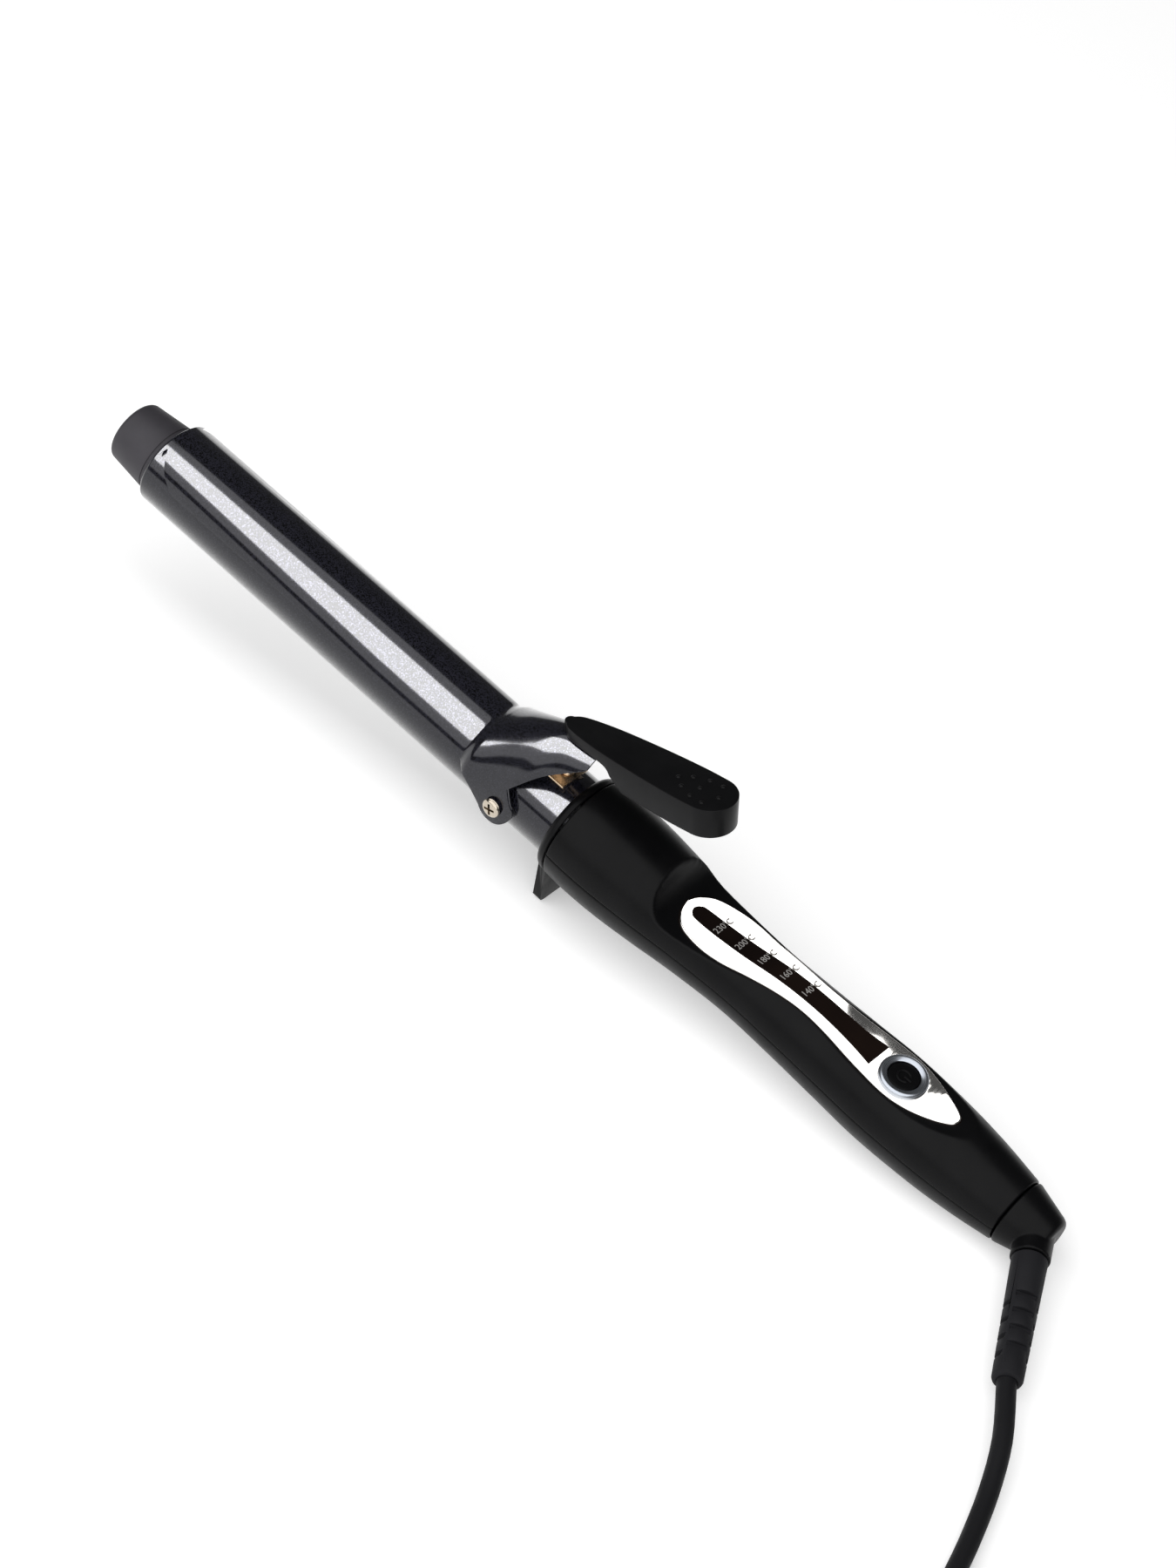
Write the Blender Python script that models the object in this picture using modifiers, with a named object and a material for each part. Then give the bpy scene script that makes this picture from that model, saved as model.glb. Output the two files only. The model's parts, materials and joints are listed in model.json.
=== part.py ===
"""Curling iron: heated barrel, sprung clip with a thumb lever, handle with a control panel, swivel cord.

The pieces are drawn in the iron's own frame: X runs along the barrel's axis from the cool tip (-X) to
the cord end (+X), X = 0 is the collar's front face, and +Z is the side that the lever is on. An empty
holds that frame, tilts it so that the iron stands on its foot and on the rear of its handle, and puts
the middle of the iron's box at the origin with its lowest point at Z = 0.
"""
import math

import bmesh
import bpy
from mathutils import Matrix, Vector

MM = 0.001
GAP = 0.3 * MM                  # clearance between neighbouring pieces
TILT = math.radians(6.6)        # the tip is raised by this angle when the iron stands on its foot
ROUND_STEPS = 32
SMALL_STEPS = 16

# Barrel
BARREL_RADIUS = 14.0 * MM
BARREL_WALL = 0.9 * MM
BARREL_FRONT_X = -176.4 * MM
BARREL_REAR_X = 24.0 * MM
RIM_RADIUS = 1.0 * MM
TIP_LENGTH = 17.2 * MM
TIP_FRONT_RADIUS = BARREL_RADIUS - 3.4 * MM
TIP_REAR_RADIUS = BARREL_RADIUS - 1.8 * MM
TIP_SPIGOT_LENGTH = 10.0 * MM
BARREL_BORE = BARREL_RADIUS - BARREL_WALL
BORE_FIT = BARREL_BORE - GAP

# Heating set
HEATER_FRONT_X = -162.0 * MM
HEATER_LENGTH = 110.0 * MM
HEATER_WIDTH = 16.0 * MM
HEATER_THICKNESS = 2.2 * MM
SPREADER_OVERHANG = 3.0 * MM
THERMISTOR_RADIUS = 1.2 * MM
THERMISTOR_LENGTH = 5.0 * MM

# Clip
SHEET = 0.9 * MM
CLIP_TIP_X = -175.0 * MM
CLIP_HALF_SPAN = math.radians(70)
CLIP_JOGGLE_X = -35.2 * MM       # the clip steps up here from the barrel to the saddle
PIVOT_X = -18.5 * MM
SADDLE_RADIUS = BARREL_RADIUS + 3.3 * MM
EAR_RADIUS = 6.2 * MM
EAR_LEAN = 0.8 * MM             # the ears lean in by this much over the pivot bushes
PIVOT_SHANK = 1.3 * MM
PIVOT_HEAD_RADIUS = 3.15 * MM
PIVOT_HEAD_HEIGHT = 1.5 * MM
PIVOT_DEPTH = 5.0 * MM
INSERT_LENGTH = 11.0 * MM
INSERT_BORE = 8.0 * MM

# Thumb lever, drawn in its own plane: U runs back along its top, W is square to it
LEVER_FRONT = Vector((-15.2 * MM, 0, 33.6 * MM))
LEVER_SLOPE = math.radians(17.7)
LEVER_LENGTH = 63.7 * MM
LEVER_HALF_WIDTH = 8.6 * MM
LEVER_NOSE = 4.0 * MM
LEVER_DEPTH = 10.0 * MM
LEVER_SKIRT_U = 18.5 * MM
LEVER_WALL = 1.8 * MM
LEVER_SCREW_US = {"lever_screw_front": 5.0 * MM, "lever_screw_rear": 11.5 * MM}
LEVER_SCREW_SHANK = 0.9 * MM
LEVER_SCREW_HEAD = 1.8 * MM
LEVER_SCREW_GRIP = 2.6 * MM
TONGUE_REAR_X = 1.5 * MM

# Clip spring
SPRING_SHEET = 0.8 * MM
SPRING_HALF_WIDTH = 5.9 * MM
SPRING_ARM_HALF_WIDTH = 3.2 * MM
SPRING_REAR_X = -4.7 * MM
SPRING_BEND_X = -18.5 * MM
SPRING_BEND_RADIUS = 2.6 * MM
SPRING_SCREW_X = -8.2 * MM

# Collar and foot
COLLAR_LENGTH = 3.2 * MM
COLLAR_RADIUS = 17.3 * MM
COLLAR_FRONT_RADIUS = BARREL_RADIUS + 1.2 * MM
FOOT_THICKNESS = 3.1 * MM
FOOT_TOP_HALF_WIDTH = 12.3 * MM
FOOT_TOE_HALF_WIDTH = 7.5 * MM
FOOT_CORNER = 2.5 * MM

# Handle
HANDLE_FRONT_X = 3.8 * MM
HANDLE_REAR_X = 178.2 * MM
SHELL_WALL = 2.0 * MM
REAR_WALL = 4.0 * MM
HANDLE_RADII = [(3.8, 17.5), (12, 17.9), (24, 17.6), (38, 16.4), (54, 14.7), (74, 13.4), (94, 13.8),
                (112, 14.55), (129, 15.2), (149, 14.5), (164, 13.1), (178.2, 11.0)]
PANEL_HEIGHTS = [(32, 21), (36.8, 16.7), (40, 10.5), (45, 6.4), (54, 6.2), (68, 7.9), (84, 10.9), (98, 11.9),
                 (116, 11.3), (138, 11.3), (151, 12.8), (164, 15.5)]
PANEL_FLOOR = 3.5 * MM          # from the panel's face to the cavity below it
SHELL_SCREW_XS = {"handle_screw_front": 38.0 * MM, "handle_screw_rear": 154.5 * MM}
BOSS_RADIUS = 4.2 * MM
SHELL_SCREW_HEAD = 2.3 * MM
SHELL_SCREW_SHANK = 1.2 * MM
SHELL_SCREW_HEAD_Z = -8.0 * MM
SHELL_SCREW_LENGTH = 12.0 * MM
INSULATOR_LENGTH = 14.0 * MM

# Panel trim, window, button
BEZEL_RADIUS = 7.8 * MM
TRIM_HALF_WIDTHS = [(44.5, 0.0), (46, 4.6), (50, 8.6), (58, 10.5), (66, 10.4), (76, 8.7), (92, 6.9),
                    (104, 7.2), (118, 8.7), (129, BEZEL_RADIUS / MM + 1.6), (137, 8.2), (145, 5.2),
                    (150, 2.2), (151, 0.0)]
TRIM_PROUD = 0.6 * MM
TRIM_SUNK = 1.0 * MM
WINDOW_HALF_WIDTHS = [(47.5, 0.0), (48.5, 2.0), (52, 3.1), (70, 3.3), (100, 3.4), (112, 3.9),
                      (120, 5.0)]
BUTTON_X = 129.7 * MM
BUTTON_RADIUS = 5.0 * MM
BUTTON_FACE_Z = 12.4 * MM
BUTTON_CAP = 2.6 * MM
BUTTON_TRAVEL = 0.8 * MM
BUTTON_STEM = 2.0 * MM
BEZEL_PROUD = 1.9 * MM

# Electronics
BOARD_FRONT_X = 52.0 * MM
BOARD_REAR_X = 149.0 * MM
BOARD_HALF_WIDTH = 6.0 * MM
BOARD_TOP_Z = 0.6 * MM
BOARD_THICKNESS = 1.6 * MM
SWITCH_SIZE = 6.0 * MM
SWITCH_HEIGHT = 3.0 * MM
SWITCH_PLUNGER = 1.4 * MM
LED_SIZE = (1.6 * MM, 0.9 * MM, 0.7 * MM)
LED_XS = {"230": 58.0 * MM, "200": 66.4 * MM, "180": 74.8 * MM, "160": 83.2 * MM, "140": 91.6 * MM}
LEAD_RADIUS = 0.8 * MM

# Swivel, strain relief
SWIVEL_JOINT_X = 178.6 * MM
CAP_LENGTH = 14.0 * MM
CAP_FRONT_RADIUS = 10.9 * MM
CAP_REAR_RADIUS = 7.4 * MM
SPIGOT_RADIUS = 6.6 * MM
FLANGE_RADIUS = 8.4 * MM
SPIGOT_FRONT_X = 170.0 * MM
CAP_BORE = 3.6 * MM
BOSS_X = 186.5 * MM
BOSS_DIRECTION = Vector((0.488, -0.873, 0)).normalized()
CORD_BOSS_RADIUS = 6.0 * MM
CORD_BOSS_LENGTH = 11.5 * MM
RELIEF_LENGTH = 44.0 * MM
RELIEF_RADIUS = 5.4 * MM
RELIEF_END_RADIUS = 4.6 * MM
RELIEF_NECK = 4.2 * MM
RELIEF_NECK_LENGTH = 5.0 * MM
SLIP_BASE_X = 158.8 * MM
SLIP_BASE_RADIUS = 8.8 * MM
SLIP_BASE_THICKNESS = 1.8 * MM
SLIP_RINGS = {"inner": (2.4 * MM, 4.0 * MM), "outer": (5.2 * MM, 7.0 * MM)}
SLIP_RING_THICKNESS = 0.8 * MM
BRUSH_RADIUS = 0.6 * MM

# Cord, which lies on the surface beside the iron: X and Y from the relief's end, Z above the surface
CORD_RADIUS = 3.0 * MM
CORD_ROUTE = [(10.9, -16.0, 6.4), (18.7, -32.0, 4.3), (25.1, -49.5, 3.2), (30.6, -67.0, 3.4),
              (38.0, -84.5, 4.2)]
COIL_CENTRE = (89.6, -85.8, 0)
COIL_MEAN_RADIUS = 39.4 * MM
COIL_LAYERS = 3
COIL_LIFT = 1.2 * MM
TAIL_ROUTE = [(127.2, -50.7, 4.2), (124.7, -40.7, 5.0), (122.1, -30.7, 6.2), (119.5, -21.0, 7.0)]
PLUG_LENGTH = 36.0 * MM
PLUG_HEIGHT = 13.0 * MM
PLUG_WIDTH = 27.0 * MM
PLUG_NECK_LENGTH = 14.0 * MM
PIN_RADIUS = 2.0 * MM
PIN_LENGTH = 19.0 * MM
PIN_SPACING = 18.6 * MM
TIE_ANGLE = math.radians(100)
TIE_WIDTH = 6.0 * MM
TIE_THICKNESS = 0.8 * MM

MATERIALS = {   # name: (colour, roughness, metallic)
    "gloss_black": ((0.010, 0.010, 0.012), 0.12, 0.3),
    "matte_grey": ((0.055, 0.052, 0.060), 0.60, 0.0),
    "soft_black": ((0.018, 0.018, 0.019), 0.50, 0.0),
    "chrome": ((0.80, 0.79, 0.77), 0.06, 1.0),
    "brushed": ((0.52, 0.55, 0.60), 0.30, 1.0),
    "nickel": ((0.78, 0.72, 0.62), 0.20, 1.0),
    "brass": ((0.70, 0.50, 0.25), 0.25, 1.0),
    "dark_window": ((0.020, 0.012, 0.010), 0.05, 0.0),
    "rubber": ((0.028, 0.028, 0.030), 0.65, 0.0),
    "aluminium": ((0.60, 0.60, 0.61), 0.40, 1.0),
    "ceramic": ((0.75, 0.73, 0.70), 0.50, 0.0),
    "board_green": ((0.020, 0.120, 0.050), 0.50, 0.0),
    "copper": ((0.70, 0.33, 0.18), 0.35, 1.0),
}

X_AXIS = Vector((1, 0, 0))
Z_AXIS = Vector((0, 0, 1))


# ---------------------------------------------------------------- tools

def clear_scene():
    for obj in list(bpy.data.objects):
        bpy.data.objects.remove(obj)


def new_collection(name):
    collection = bpy.data.collections.new(name)
    bpy.context.scene.collection.children.link(collection)
    return collection


def make_material(name):
    colour, roughness, metallic = MATERIALS[name]
    material = bpy.data.materials.new(name)
    material.use_nodes = True
    shader = material.node_tree.nodes["Principled BSDF"]
    shader.inputs["Base Color"].default_value = (*colour, 1.0)
    shader.inputs["Roughness"].default_value = roughness
    shader.inputs["Metallic"].default_value = metallic
    material.diffuse_color = (*colour, 1.0)
    return material


def smooth(points, steps):
    """Points read from a Catmull-Rom curve through the given points."""
    ends = [points[0]] + list(points) + [points[-1]]
    result = []
    for before, start, end, after in zip(ends, ends[1:], ends[2:], ends[3:]):
        for step in range(steps):
            t = step / steps
            result.append(tuple(0.5 * (2 * b + (c - a) * t + (2 * a - 5 * b + 4 * c - d) * t * t
                                       + (3 * b - a - 3 * c + d) * t ** 3)
                                for a, b, c, d in zip(before, start, end, after)))
    result.append(tuple(points[-1]))
    return result


def in_metres(points):
    return [tuple(value * MM for value in point) for point in points]


def height_at(points, x):
    """Second value of a list of pairs at x, in a straight line between its neighbours."""
    for (x0, z0), (x1, z1) in zip(points, points[1:]):
        if x0 <= x <= x1:
            return z0 + (z1 - z0) * (x - x0) / (x1 - x0)
    return points[-1][1] if x > points[-1][0] else points[0][1]


def tidy(mesh):
    bm = bmesh.new()
    bm.from_mesh(mesh)
    bmesh.ops.remove_doubles(bm, verts=bm.verts, dist=1e-6)
    bmesh.ops.dissolve_degenerate(bm, edges=bm.edges, dist=1e-7)
    bmesh.ops.recalc_face_normals(bm, faces=bm.faces)
    bm.to_mesh(mesh)
    bm.free()
    return mesh


def baked(obj):
    """The evaluated object as a plain mesh in world space; the object is removed."""
    bpy.context.view_layer.update()
    evaluated = obj.evaluated_get(bpy.context.evaluated_depsgraph_get())
    mesh = bpy.data.meshes.new_from_object(evaluated)
    mesh.transform(obj.matrix_world)
    bpy.data.objects.remove(obj)
    return tidy(mesh)


def temporary(data):
    obj = bpy.data.objects.new("temporary", data)
    bpy.context.scene.collection.objects.link(obj)
    return obj


def facing(direction):
    """Rotation that turns Z to the direction."""
    return direction.to_track_quat("Z", "Y").to_matrix().to_4x4()


def turned(profile, axis=X_AXIS, at=(0, 0, 0), steps=ROUND_STEPS):
    """A profile of (along, radius) pairs turned about an axis that passes through a point.

    A profile that starts and ends on the axis stays open there; any other one is a closed ring.
    """
    on_axis = profile[0][1] == 0 and profile[-1][1] == 0
    bm = bmesh.new()
    verts = [bm.verts.new((radius, 0, along)) for along, radius in profile]
    for first, second in zip(verts, verts[1:]):
        bm.edges.new((first, second))
    if not on_axis:
        bm.edges.new((verts[-1], verts[0]))
    mesh = bpy.data.meshes.new("turned")
    bm.to_mesh(mesh)
    bm.free()
    obj = temporary(mesh)
    screw = obj.modifiers.new("Turn", "SCREW")
    screw.steps = steps
    screw.render_steps = steps
    screw.use_merge_vertices = True
    screw.merge_threshold = 1e-5
    obj.matrix_world = Matrix.Translation(at) @ facing(Vector(axis))
    return baked(obj)


def rod(radius, start, end, steps=SMALL_STEPS):
    """A plain cylinder between two points."""
    start, end = Vector(start), Vector(end)
    length = (end - start).length
    bm = bmesh.new()
    place = Matrix.Translation((start + end) / 2) @ facing((end - start).normalized())
    bmesh.ops.create_cone(bm, cap_ends=True, segments=steps, radius1=radius, radius2=radius,
                          depth=length, matrix=place)
    mesh = bpy.data.meshes.new("rod")
    bm.to_mesh(mesh)
    bm.free()
    return mesh


def box(low, high, turn=Matrix()):
    low, high = Vector(low), Vector(high)
    bm = bmesh.new()
    place = turn @ Matrix.Translation((low + high) / 2) @ Matrix.Diagonal((*(high - low), 1))
    bmesh.ops.create_cube(bm, size=1, matrix=place)
    mesh = bpy.data.meshes.new("box")
    bm.to_mesh(mesh)
    bm.free()
    return mesh


PLANES = {      # outline axes and extrusion axis, as columns of a matrix
    "XZ": Matrix(((1, 0, 0, 0), (0, 0, 1, 0), (0, 1, 0, 0), (0, 0, 0, 1))),
    "XY": Matrix(((1, 0, 0, 0), (0, 1, 0, 0), (0, 0, 1, 0), (0, 0, 0, 1))),
    "YZ": Matrix(((0, 0, 1, 0), (1, 0, 0, 0), (0, 1, 0, 0), (0, 0, 0, 1))),
}


def extruded(outline, low, high, plane="XZ"):
    """A flat outline in one plane, extruded square to it from low to high."""
    curve = bpy.data.curves.new("outline", "CURVE")
    curve.dimensions = "2D"
    curve.fill_mode = "BOTH"
    curve.extrude = (high - low) / 2
    spline = curve.splines.new("POLY")
    spline.points.add(len(outline) - 1)
    for point, (a, b) in zip(spline.points, outline):
        point.co = (a, b, 0, 1)
    spline.use_cyclic_u = True
    obj = temporary(curve)
    obj.matrix_world = PLANES[plane] @ Matrix.Translation((0, 0, (low + high) / 2))
    return baked(obj)


def tube(points, radius, resolution=2):
    curve = bpy.data.curves.new("tube", "CURVE")
    curve.dimensions = "3D"
    curve.bevel_depth = radius
    curve.bevel_resolution = resolution
    curve.use_fill_caps = True
    spline = curve.splines.new("POLY")
    spline.points.add(len(points) - 1)
    for point, place in zip(spline.points, points):
        point.co = (*place, 1)
    return baked(temporary(curve))


def arc(centre, radius, start, end, steps=8):
    """Points of a circle from one angle to another, in degrees."""
    angles = [math.radians(start + (end - start) * i / steps) for i in range(steps + 1)]
    return [(centre[0] + radius * math.cos(a), centre[1] + radius * math.sin(a)) for a in angles]


def offset_line(points, distance):
    """The points of a flat line moved to its left by a distance."""
    result = []
    for index, point in enumerate(points):
        before = points[max(index - 1, 0)]
        after = points[min(index + 1, len(points) - 1)]
        along = Vector((after[0] - before[0], after[1] - before[1])).normalized()
        result.append((point[0] - along.y * distance, point[1] + along.x * distance))
    return result


def both_sides(half_widths, grow=0.0):
    """A closed outline from half-widths along X, on both sides of the X axis, grown all round."""
    side = offset_line(smooth(in_metres(half_widths), 2), grow)
    if half_widths[-1][1] > 0:
        side[-1] = (half_widths[-1][0] * MM + grow, side[-1][1])
    upper = [(x, max(half, 0)) for x, half in side]
    lower = [(x, -half) for x, half in reversed(upper) if half > 0]
    return upper + lower


class Builder:
    """Holds the collections, the iron's frame and the materials, and adds pieces and cutters."""

    def __init__(self):
        self.pieces = new_collection("curling_iron")
        self.cutters = new_collection("cutters")
        self.materials = {name: make_material(name) for name in MATERIALS}
        self.frame = bpy.data.objects.new("iron_frame", None)
        self.pieces.objects.link(self.frame)
        self.frame.rotation_euler = (0, TILT, 0)

    def add(self, name, mesh, material, origin=(0, 0, 0), in_world=False):
        mesh.name = name
        mesh.transform(Matrix.Translation(-Vector(origin)))
        mesh.materials.clear()
        mesh.materials.append(self.materials[material])
        mesh.shade_smooth()
        mesh.set_sharp_from_angle(angle=math.radians(35))
        obj = bpy.data.objects.new(name, mesh)
        self.pieces.objects.link(obj)
        obj.location = origin
        if not in_world:
            obj.parent = self.frame
        return obj

    def cutter(self, name, mesh):
        obj = bpy.data.objects.new(name, mesh)
        self.cutters.objects.link(obj)
        obj.parent = self.frame
        obj.hide_render = True
        obj.display_type = "WIRE"
        return obj

    def boolean(self, obj, operation, name, mesh):
        tool = self.cutter(name, mesh)
        modifier = obj.modifiers.new(name, "BOOLEAN")
        modifier.operation = operation
        modifier.object = tool
        return tool

    def cut(self, obj, name, mesh):
        return self.boolean(obj, "DIFFERENCE", name, mesh)

    def join(self, obj, name, mesh):
        return self.boolean(obj, "UNION", name, mesh)

    def keep(self, obj, name, mesh):
        return self.boolean(obj, "INTERSECT", name, mesh)


# ---------------------------------------------------------------- barrel and heating set

def barrel(iron):
    front, rear = BARREL_FRONT_X, BARREL_REAR_X
    rim = [(front + RIM_RADIUS - z, BARREL_RADIUS - RIM_RADIUS + r)
           for z, r in arc((0, 0), RIM_RADIUS, 90, 0, 4)]
    profile = [(rear, BARREL_RADIUS)] + rim + [(front, BARREL_BORE), (rear, BARREL_BORE)]
    tube_obj = iron.add("barrel_tube", turned(profile), "gloss_black")
    reach = (PIVOT_X, BARREL_RADIUS + GAP, 0)
    iron.cut(tube_obj, "barrel_pivot_hole",
             rod(PIVOT_SHANK + GAP, (reach[0], -reach[1], 0), reach))
    iron.cut(tube_obj, "barrel_spring_screw_hole",
             rod(PIVOT_SHANK + GAP, (SPRING_SCREW_X, 0, BARREL_BORE - GAP * 3),
                 (SPRING_SCREW_X, 0, BARREL_RADIUS + GAP)))


def cool_tip(iron):
    front = BARREL_FRONT_X - TIP_LENGTH
    joint = BARREL_FRONT_X
    slope = (TIP_REAR_RADIUS - TIP_FRONT_RADIUS) / TIP_LENGTH
    groove = joint - 2.0 * MM
    depth, width = 0.35 * MM, 0.5 * MM
    edge = 1.8 * MM
    nose = [(front + edge + z, TIP_FRONT_RADIUS - edge + r) for z, r in arc((0, 0), edge, 180, 90, 5)]
    body = [(groove, TIP_REAR_RADIUS - slope * 2 * MM), (groove, TIP_REAR_RADIUS - depth),
            (groove + width, TIP_REAR_RADIUS - depth), (groove + width, TIP_REAR_RADIUS)]
    spigot = [(joint - GAP, TIP_REAR_RADIUS), (joint, BORE_FIT), (joint + TIP_SPIGOT_LENGTH, BORE_FIT),
              (joint + TIP_SPIGOT_LENGTH, 0)]
    iron.add("cool_tip", turned([(front, 0)] + nose + body + spigot), "matte_grey")


def heating_set(iron):
    front, rear = HEATER_FRONT_X, HEATER_FRONT_X + HEATER_LENGTH
    half = HEATER_THICKNESS / 2
    iron.add("ptc_heater", box((front, -HEATER_WIDTH / 2, -half), (rear, HEATER_WIDTH / 2, half)), "ceramic")
    for name, side in (("heat_spreader_upper", 1), ("heat_spreader_lower", -1)):
        outline = arc((0, 0), BORE_FIT, 6, 174, 24)
        floor = half + GAP
        flat = math.sqrt(BORE_FIT ** 2 - floor ** 2)
        outline = [(flat, floor)] + [point for point in outline if point[1] > floor] + [(-flat, floor)]
        outline = [(y, side * z) for y, z in outline]
        mesh = extruded(outline, front - SPREADER_OVERHANG, rear + SPREADER_OVERHANG / 2, "YZ")
        iron.add(name, mesh, "aluminium")
    bead = rear + SPREADER_OVERHANG / 2 + GAP
    iron.add("thermistor", rod(THERMISTOR_RADIUS, (bead, 0, BORE_FIT / 2),
                               (bead + THERMISTOR_LENGTH, 0, BORE_FIT / 2)), "copper")


def pivot_parts(iron):
    low, high = PIVOT_X - INSERT_LENGTH / 2, PIVOT_X + INSERT_LENGTH / 2
    ring = [(low, BORE_FIT), (high, BORE_FIT), (high, INSERT_BORE), (low, INSERT_BORE)]
    insert = iron.add("pivot_insert", turned(ring), "nickel")
    iron.cut(insert, "insert_cross_hole", rod(PIVOT_SHANK + GAP, (PIVOT_X, -BARREL_RADIUS, 0),
                                              (PIVOT_X, BARREL_RADIUS, 0)))
    ear_inner = SADDLE_RADIUS - SHEET - EAR_LEAN
    ear_outer = SADDLE_RADIUS
    for side_name, side in (("left", -1), ("right", 1)):
        along = Vector((0, side, 0))
        head = ear_outer + GAP
        top = head + PIVOT_HEAD_HEIGHT
        inner = BARREL_RADIUS - PIVOT_DEPTH
        dome = [(top - 0.6 * MM, PIVOT_HEAD_RADIUS), (top - 0.15 * MM, PIVOT_HEAD_RADIUS - 0.7 * MM)]
        profile = [(top, 0)] + dome[::-1] + [(head, PIVOT_HEAD_RADIUS), (head, PIVOT_SHANK),
                                             (inner, PIVOT_SHANK), (inner, 0)]
        place = (PIVOT_X, 0, 0)
        mesh = turned(profile, along, place, SMALL_STEPS)
        screw = iron.add(f"pivot_screw_{side_name}", mesh, "nickel", place)
        cross_recess(iron, screw, Vector((PIVOT_X, side * top, 0)), along, PIVOT_HEAD_RADIUS)
        start, end = BARREL_RADIUS + GAP, ear_inner - GAP
        hole, rim = PIVOT_SHANK + GAP, PIVOT_SHANK + 1.5 * MM
        ring = [(start, rim), (end, rim), (end, hole), (start, hole)]
        iron.add(f"pivot_bush_{side_name}", turned(ring, along, place, SMALL_STEPS), "brass", place)


def cross_recess(iron, screw, top, direction, head_radius):
    """Cuts a cross-head recess in a screw; the head's top is at a point and faces a direction."""
    turn = Matrix.Translation(top) @ facing(direction)
    long, wide, deep = head_radius * 0.62, head_radius * 0.14, head_radius * 0.25
    iron.cut(screw, screw.name + "_slot_a", box((-long, -wide, -deep), (long, wide, deep), turn))
    iron.cut(screw, screw.name + "_slot_b", box((-wide, -long, -deep * 0.97), (wide, long, deep), turn))


# ---------------------------------------------------------------- clip

def lever_frame():
    return Matrix.Translation(LEVER_FRONT) @ Matrix.Rotation(-LEVER_SLOPE, 4, "Y")


def tongue_height(x):
    """Top of the arch's tongue, a gap below the lever's nose, at a place along the iron."""
    drop = (LEVER_NOSE + GAP) / math.cos(LEVER_SLOPE)
    return LEVER_FRONT.z - drop + (x - LEVER_FRONT.x) * math.tan(LEVER_SLOPE)


def clip_stations():
    """Cross-sections along the clip: (x, crest height, half-width, height where the sides turn vertical)."""
    plain = BARREL_RADIUS + GAP + SHEET
    saddle = SADDLE_RADIUS
    flat = [(CLIP_TIP_X - 2 * MM, plain, plain, 0), (CLIP_JOGGLE_X - 0.1 * MM, plain, plain, 0),
            (CLIP_JOGGLE_X + 2.2 * MM, plain + 1.9 * MM, saddle - 0.4 * MM, 0)]
    rise = smooth([(-31.0 * MM, saddle + 1.3 * MM, saddle, -1 * MM),
                   (-26.0 * MM, saddle + 5.1 * MM, saddle, -4 * MM),
                   (-19.6 * MM, 26.6 * MM, saddle, -6 * MM),
                   (-14.0 * MM, tongue_height(-14 * MM), saddle - 0.6 * MM, -4 * MM),
                   (-9.0 * MM, tongue_height(-9 * MM), saddle - 5 * MM, 8 * MM),
                   (-2.0 * MM, tongue_height(-2 * MM), 10 * MM, 18 * MM),
                   (TONGUE_REAR_X + 3 * MM, tongue_height(TONGUE_REAR_X + 3 * MM), 8.6 * MM, 24 * MM)], 3)
    return flat + rise


def clip_outline():
    """Side view of the clip: tip, straight lower edge, round ear, and the slanted edge up to the tongue."""
    crest = BARREL_RADIUS + GAP + SHEET
    edge = crest * math.cos(CLIP_HALF_SPAN)
    over = 60 * MM
    flare = smooth([(-44 * MM, edge), (-37 * MM, edge - 1.2 * MM), (-30 * MM, edge - 4.6 * MM),
                    (PIVOT_X - EAR_RADIUS * 0.8, -EAR_RADIUS * 0.6)], 3)
    ear = arc((PIVOT_X, 0), EAR_RADIUS, 217, 382, 12)
    slant_top = (TONGUE_REAR_X - 0.4 * MM, 29.4 * MM)
    slant = smooth([(-17.0 * MM, 8.5 * MM), (-10.6 * MM, 17.7 * MM), slant_top], 4)
    tip = smooth([(CLIP_TIP_X, over), (CLIP_TIP_X, crest - 0.2 * MM),
                  (CLIP_TIP_X + 1.5 * MM, crest - 2.2 * MM), (CLIP_TIP_X + 6.5 * MM, crest - 7.0 * MM),
                  (CLIP_TIP_X + 12.2 * MM, edge)], 4)
    return tip + flare + ear[1:] + slant + [(TONGUE_REAR_X, over)]


def clip_sheet():
    """The clip as an open sheet of equal thickness, before its edges are cut."""
    across = 18
    low = -EAR_RADIUS - 2 * MM
    bm = bmesh.new()
    rows = []
    for x, crest, half, shoulder in clip_stations():
        foot = half if x < CLIP_JOGGLE_X else SADDLE_RADIUS
        row = [(-foot + SHEET / 2, low)]
        for i in range(across + 1):
            angle = math.pi * i / across
            row.append((-(half - SHEET / 2) * math.cos(angle),
                        shoulder + (crest - SHEET / 2 - shoulder) * math.sin(angle)))
        row.append((foot - SHEET / 2, low))
        rows.append([bm.verts.new((x, y, z)) for y, z in row])
    for first, second in zip(rows, rows[1:]):
        for a, b, c, d in zip(first, first[1:], second[1:], second):
            bm.faces.new((a, b, c, d))
    bmesh.ops.recalc_face_normals(bm, faces=bm.faces)
    mesh = bpy.data.meshes.new("clip_sheet")
    bm.to_mesh(mesh)
    bm.free()
    obj = temporary(mesh)
    thick = obj.modifiers.new("Sheet", "SOLIDIFY")
    thick.thickness = SHEET
    thick.offset = 0
    thick.use_even_offset = True
    return baked(obj)


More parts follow.
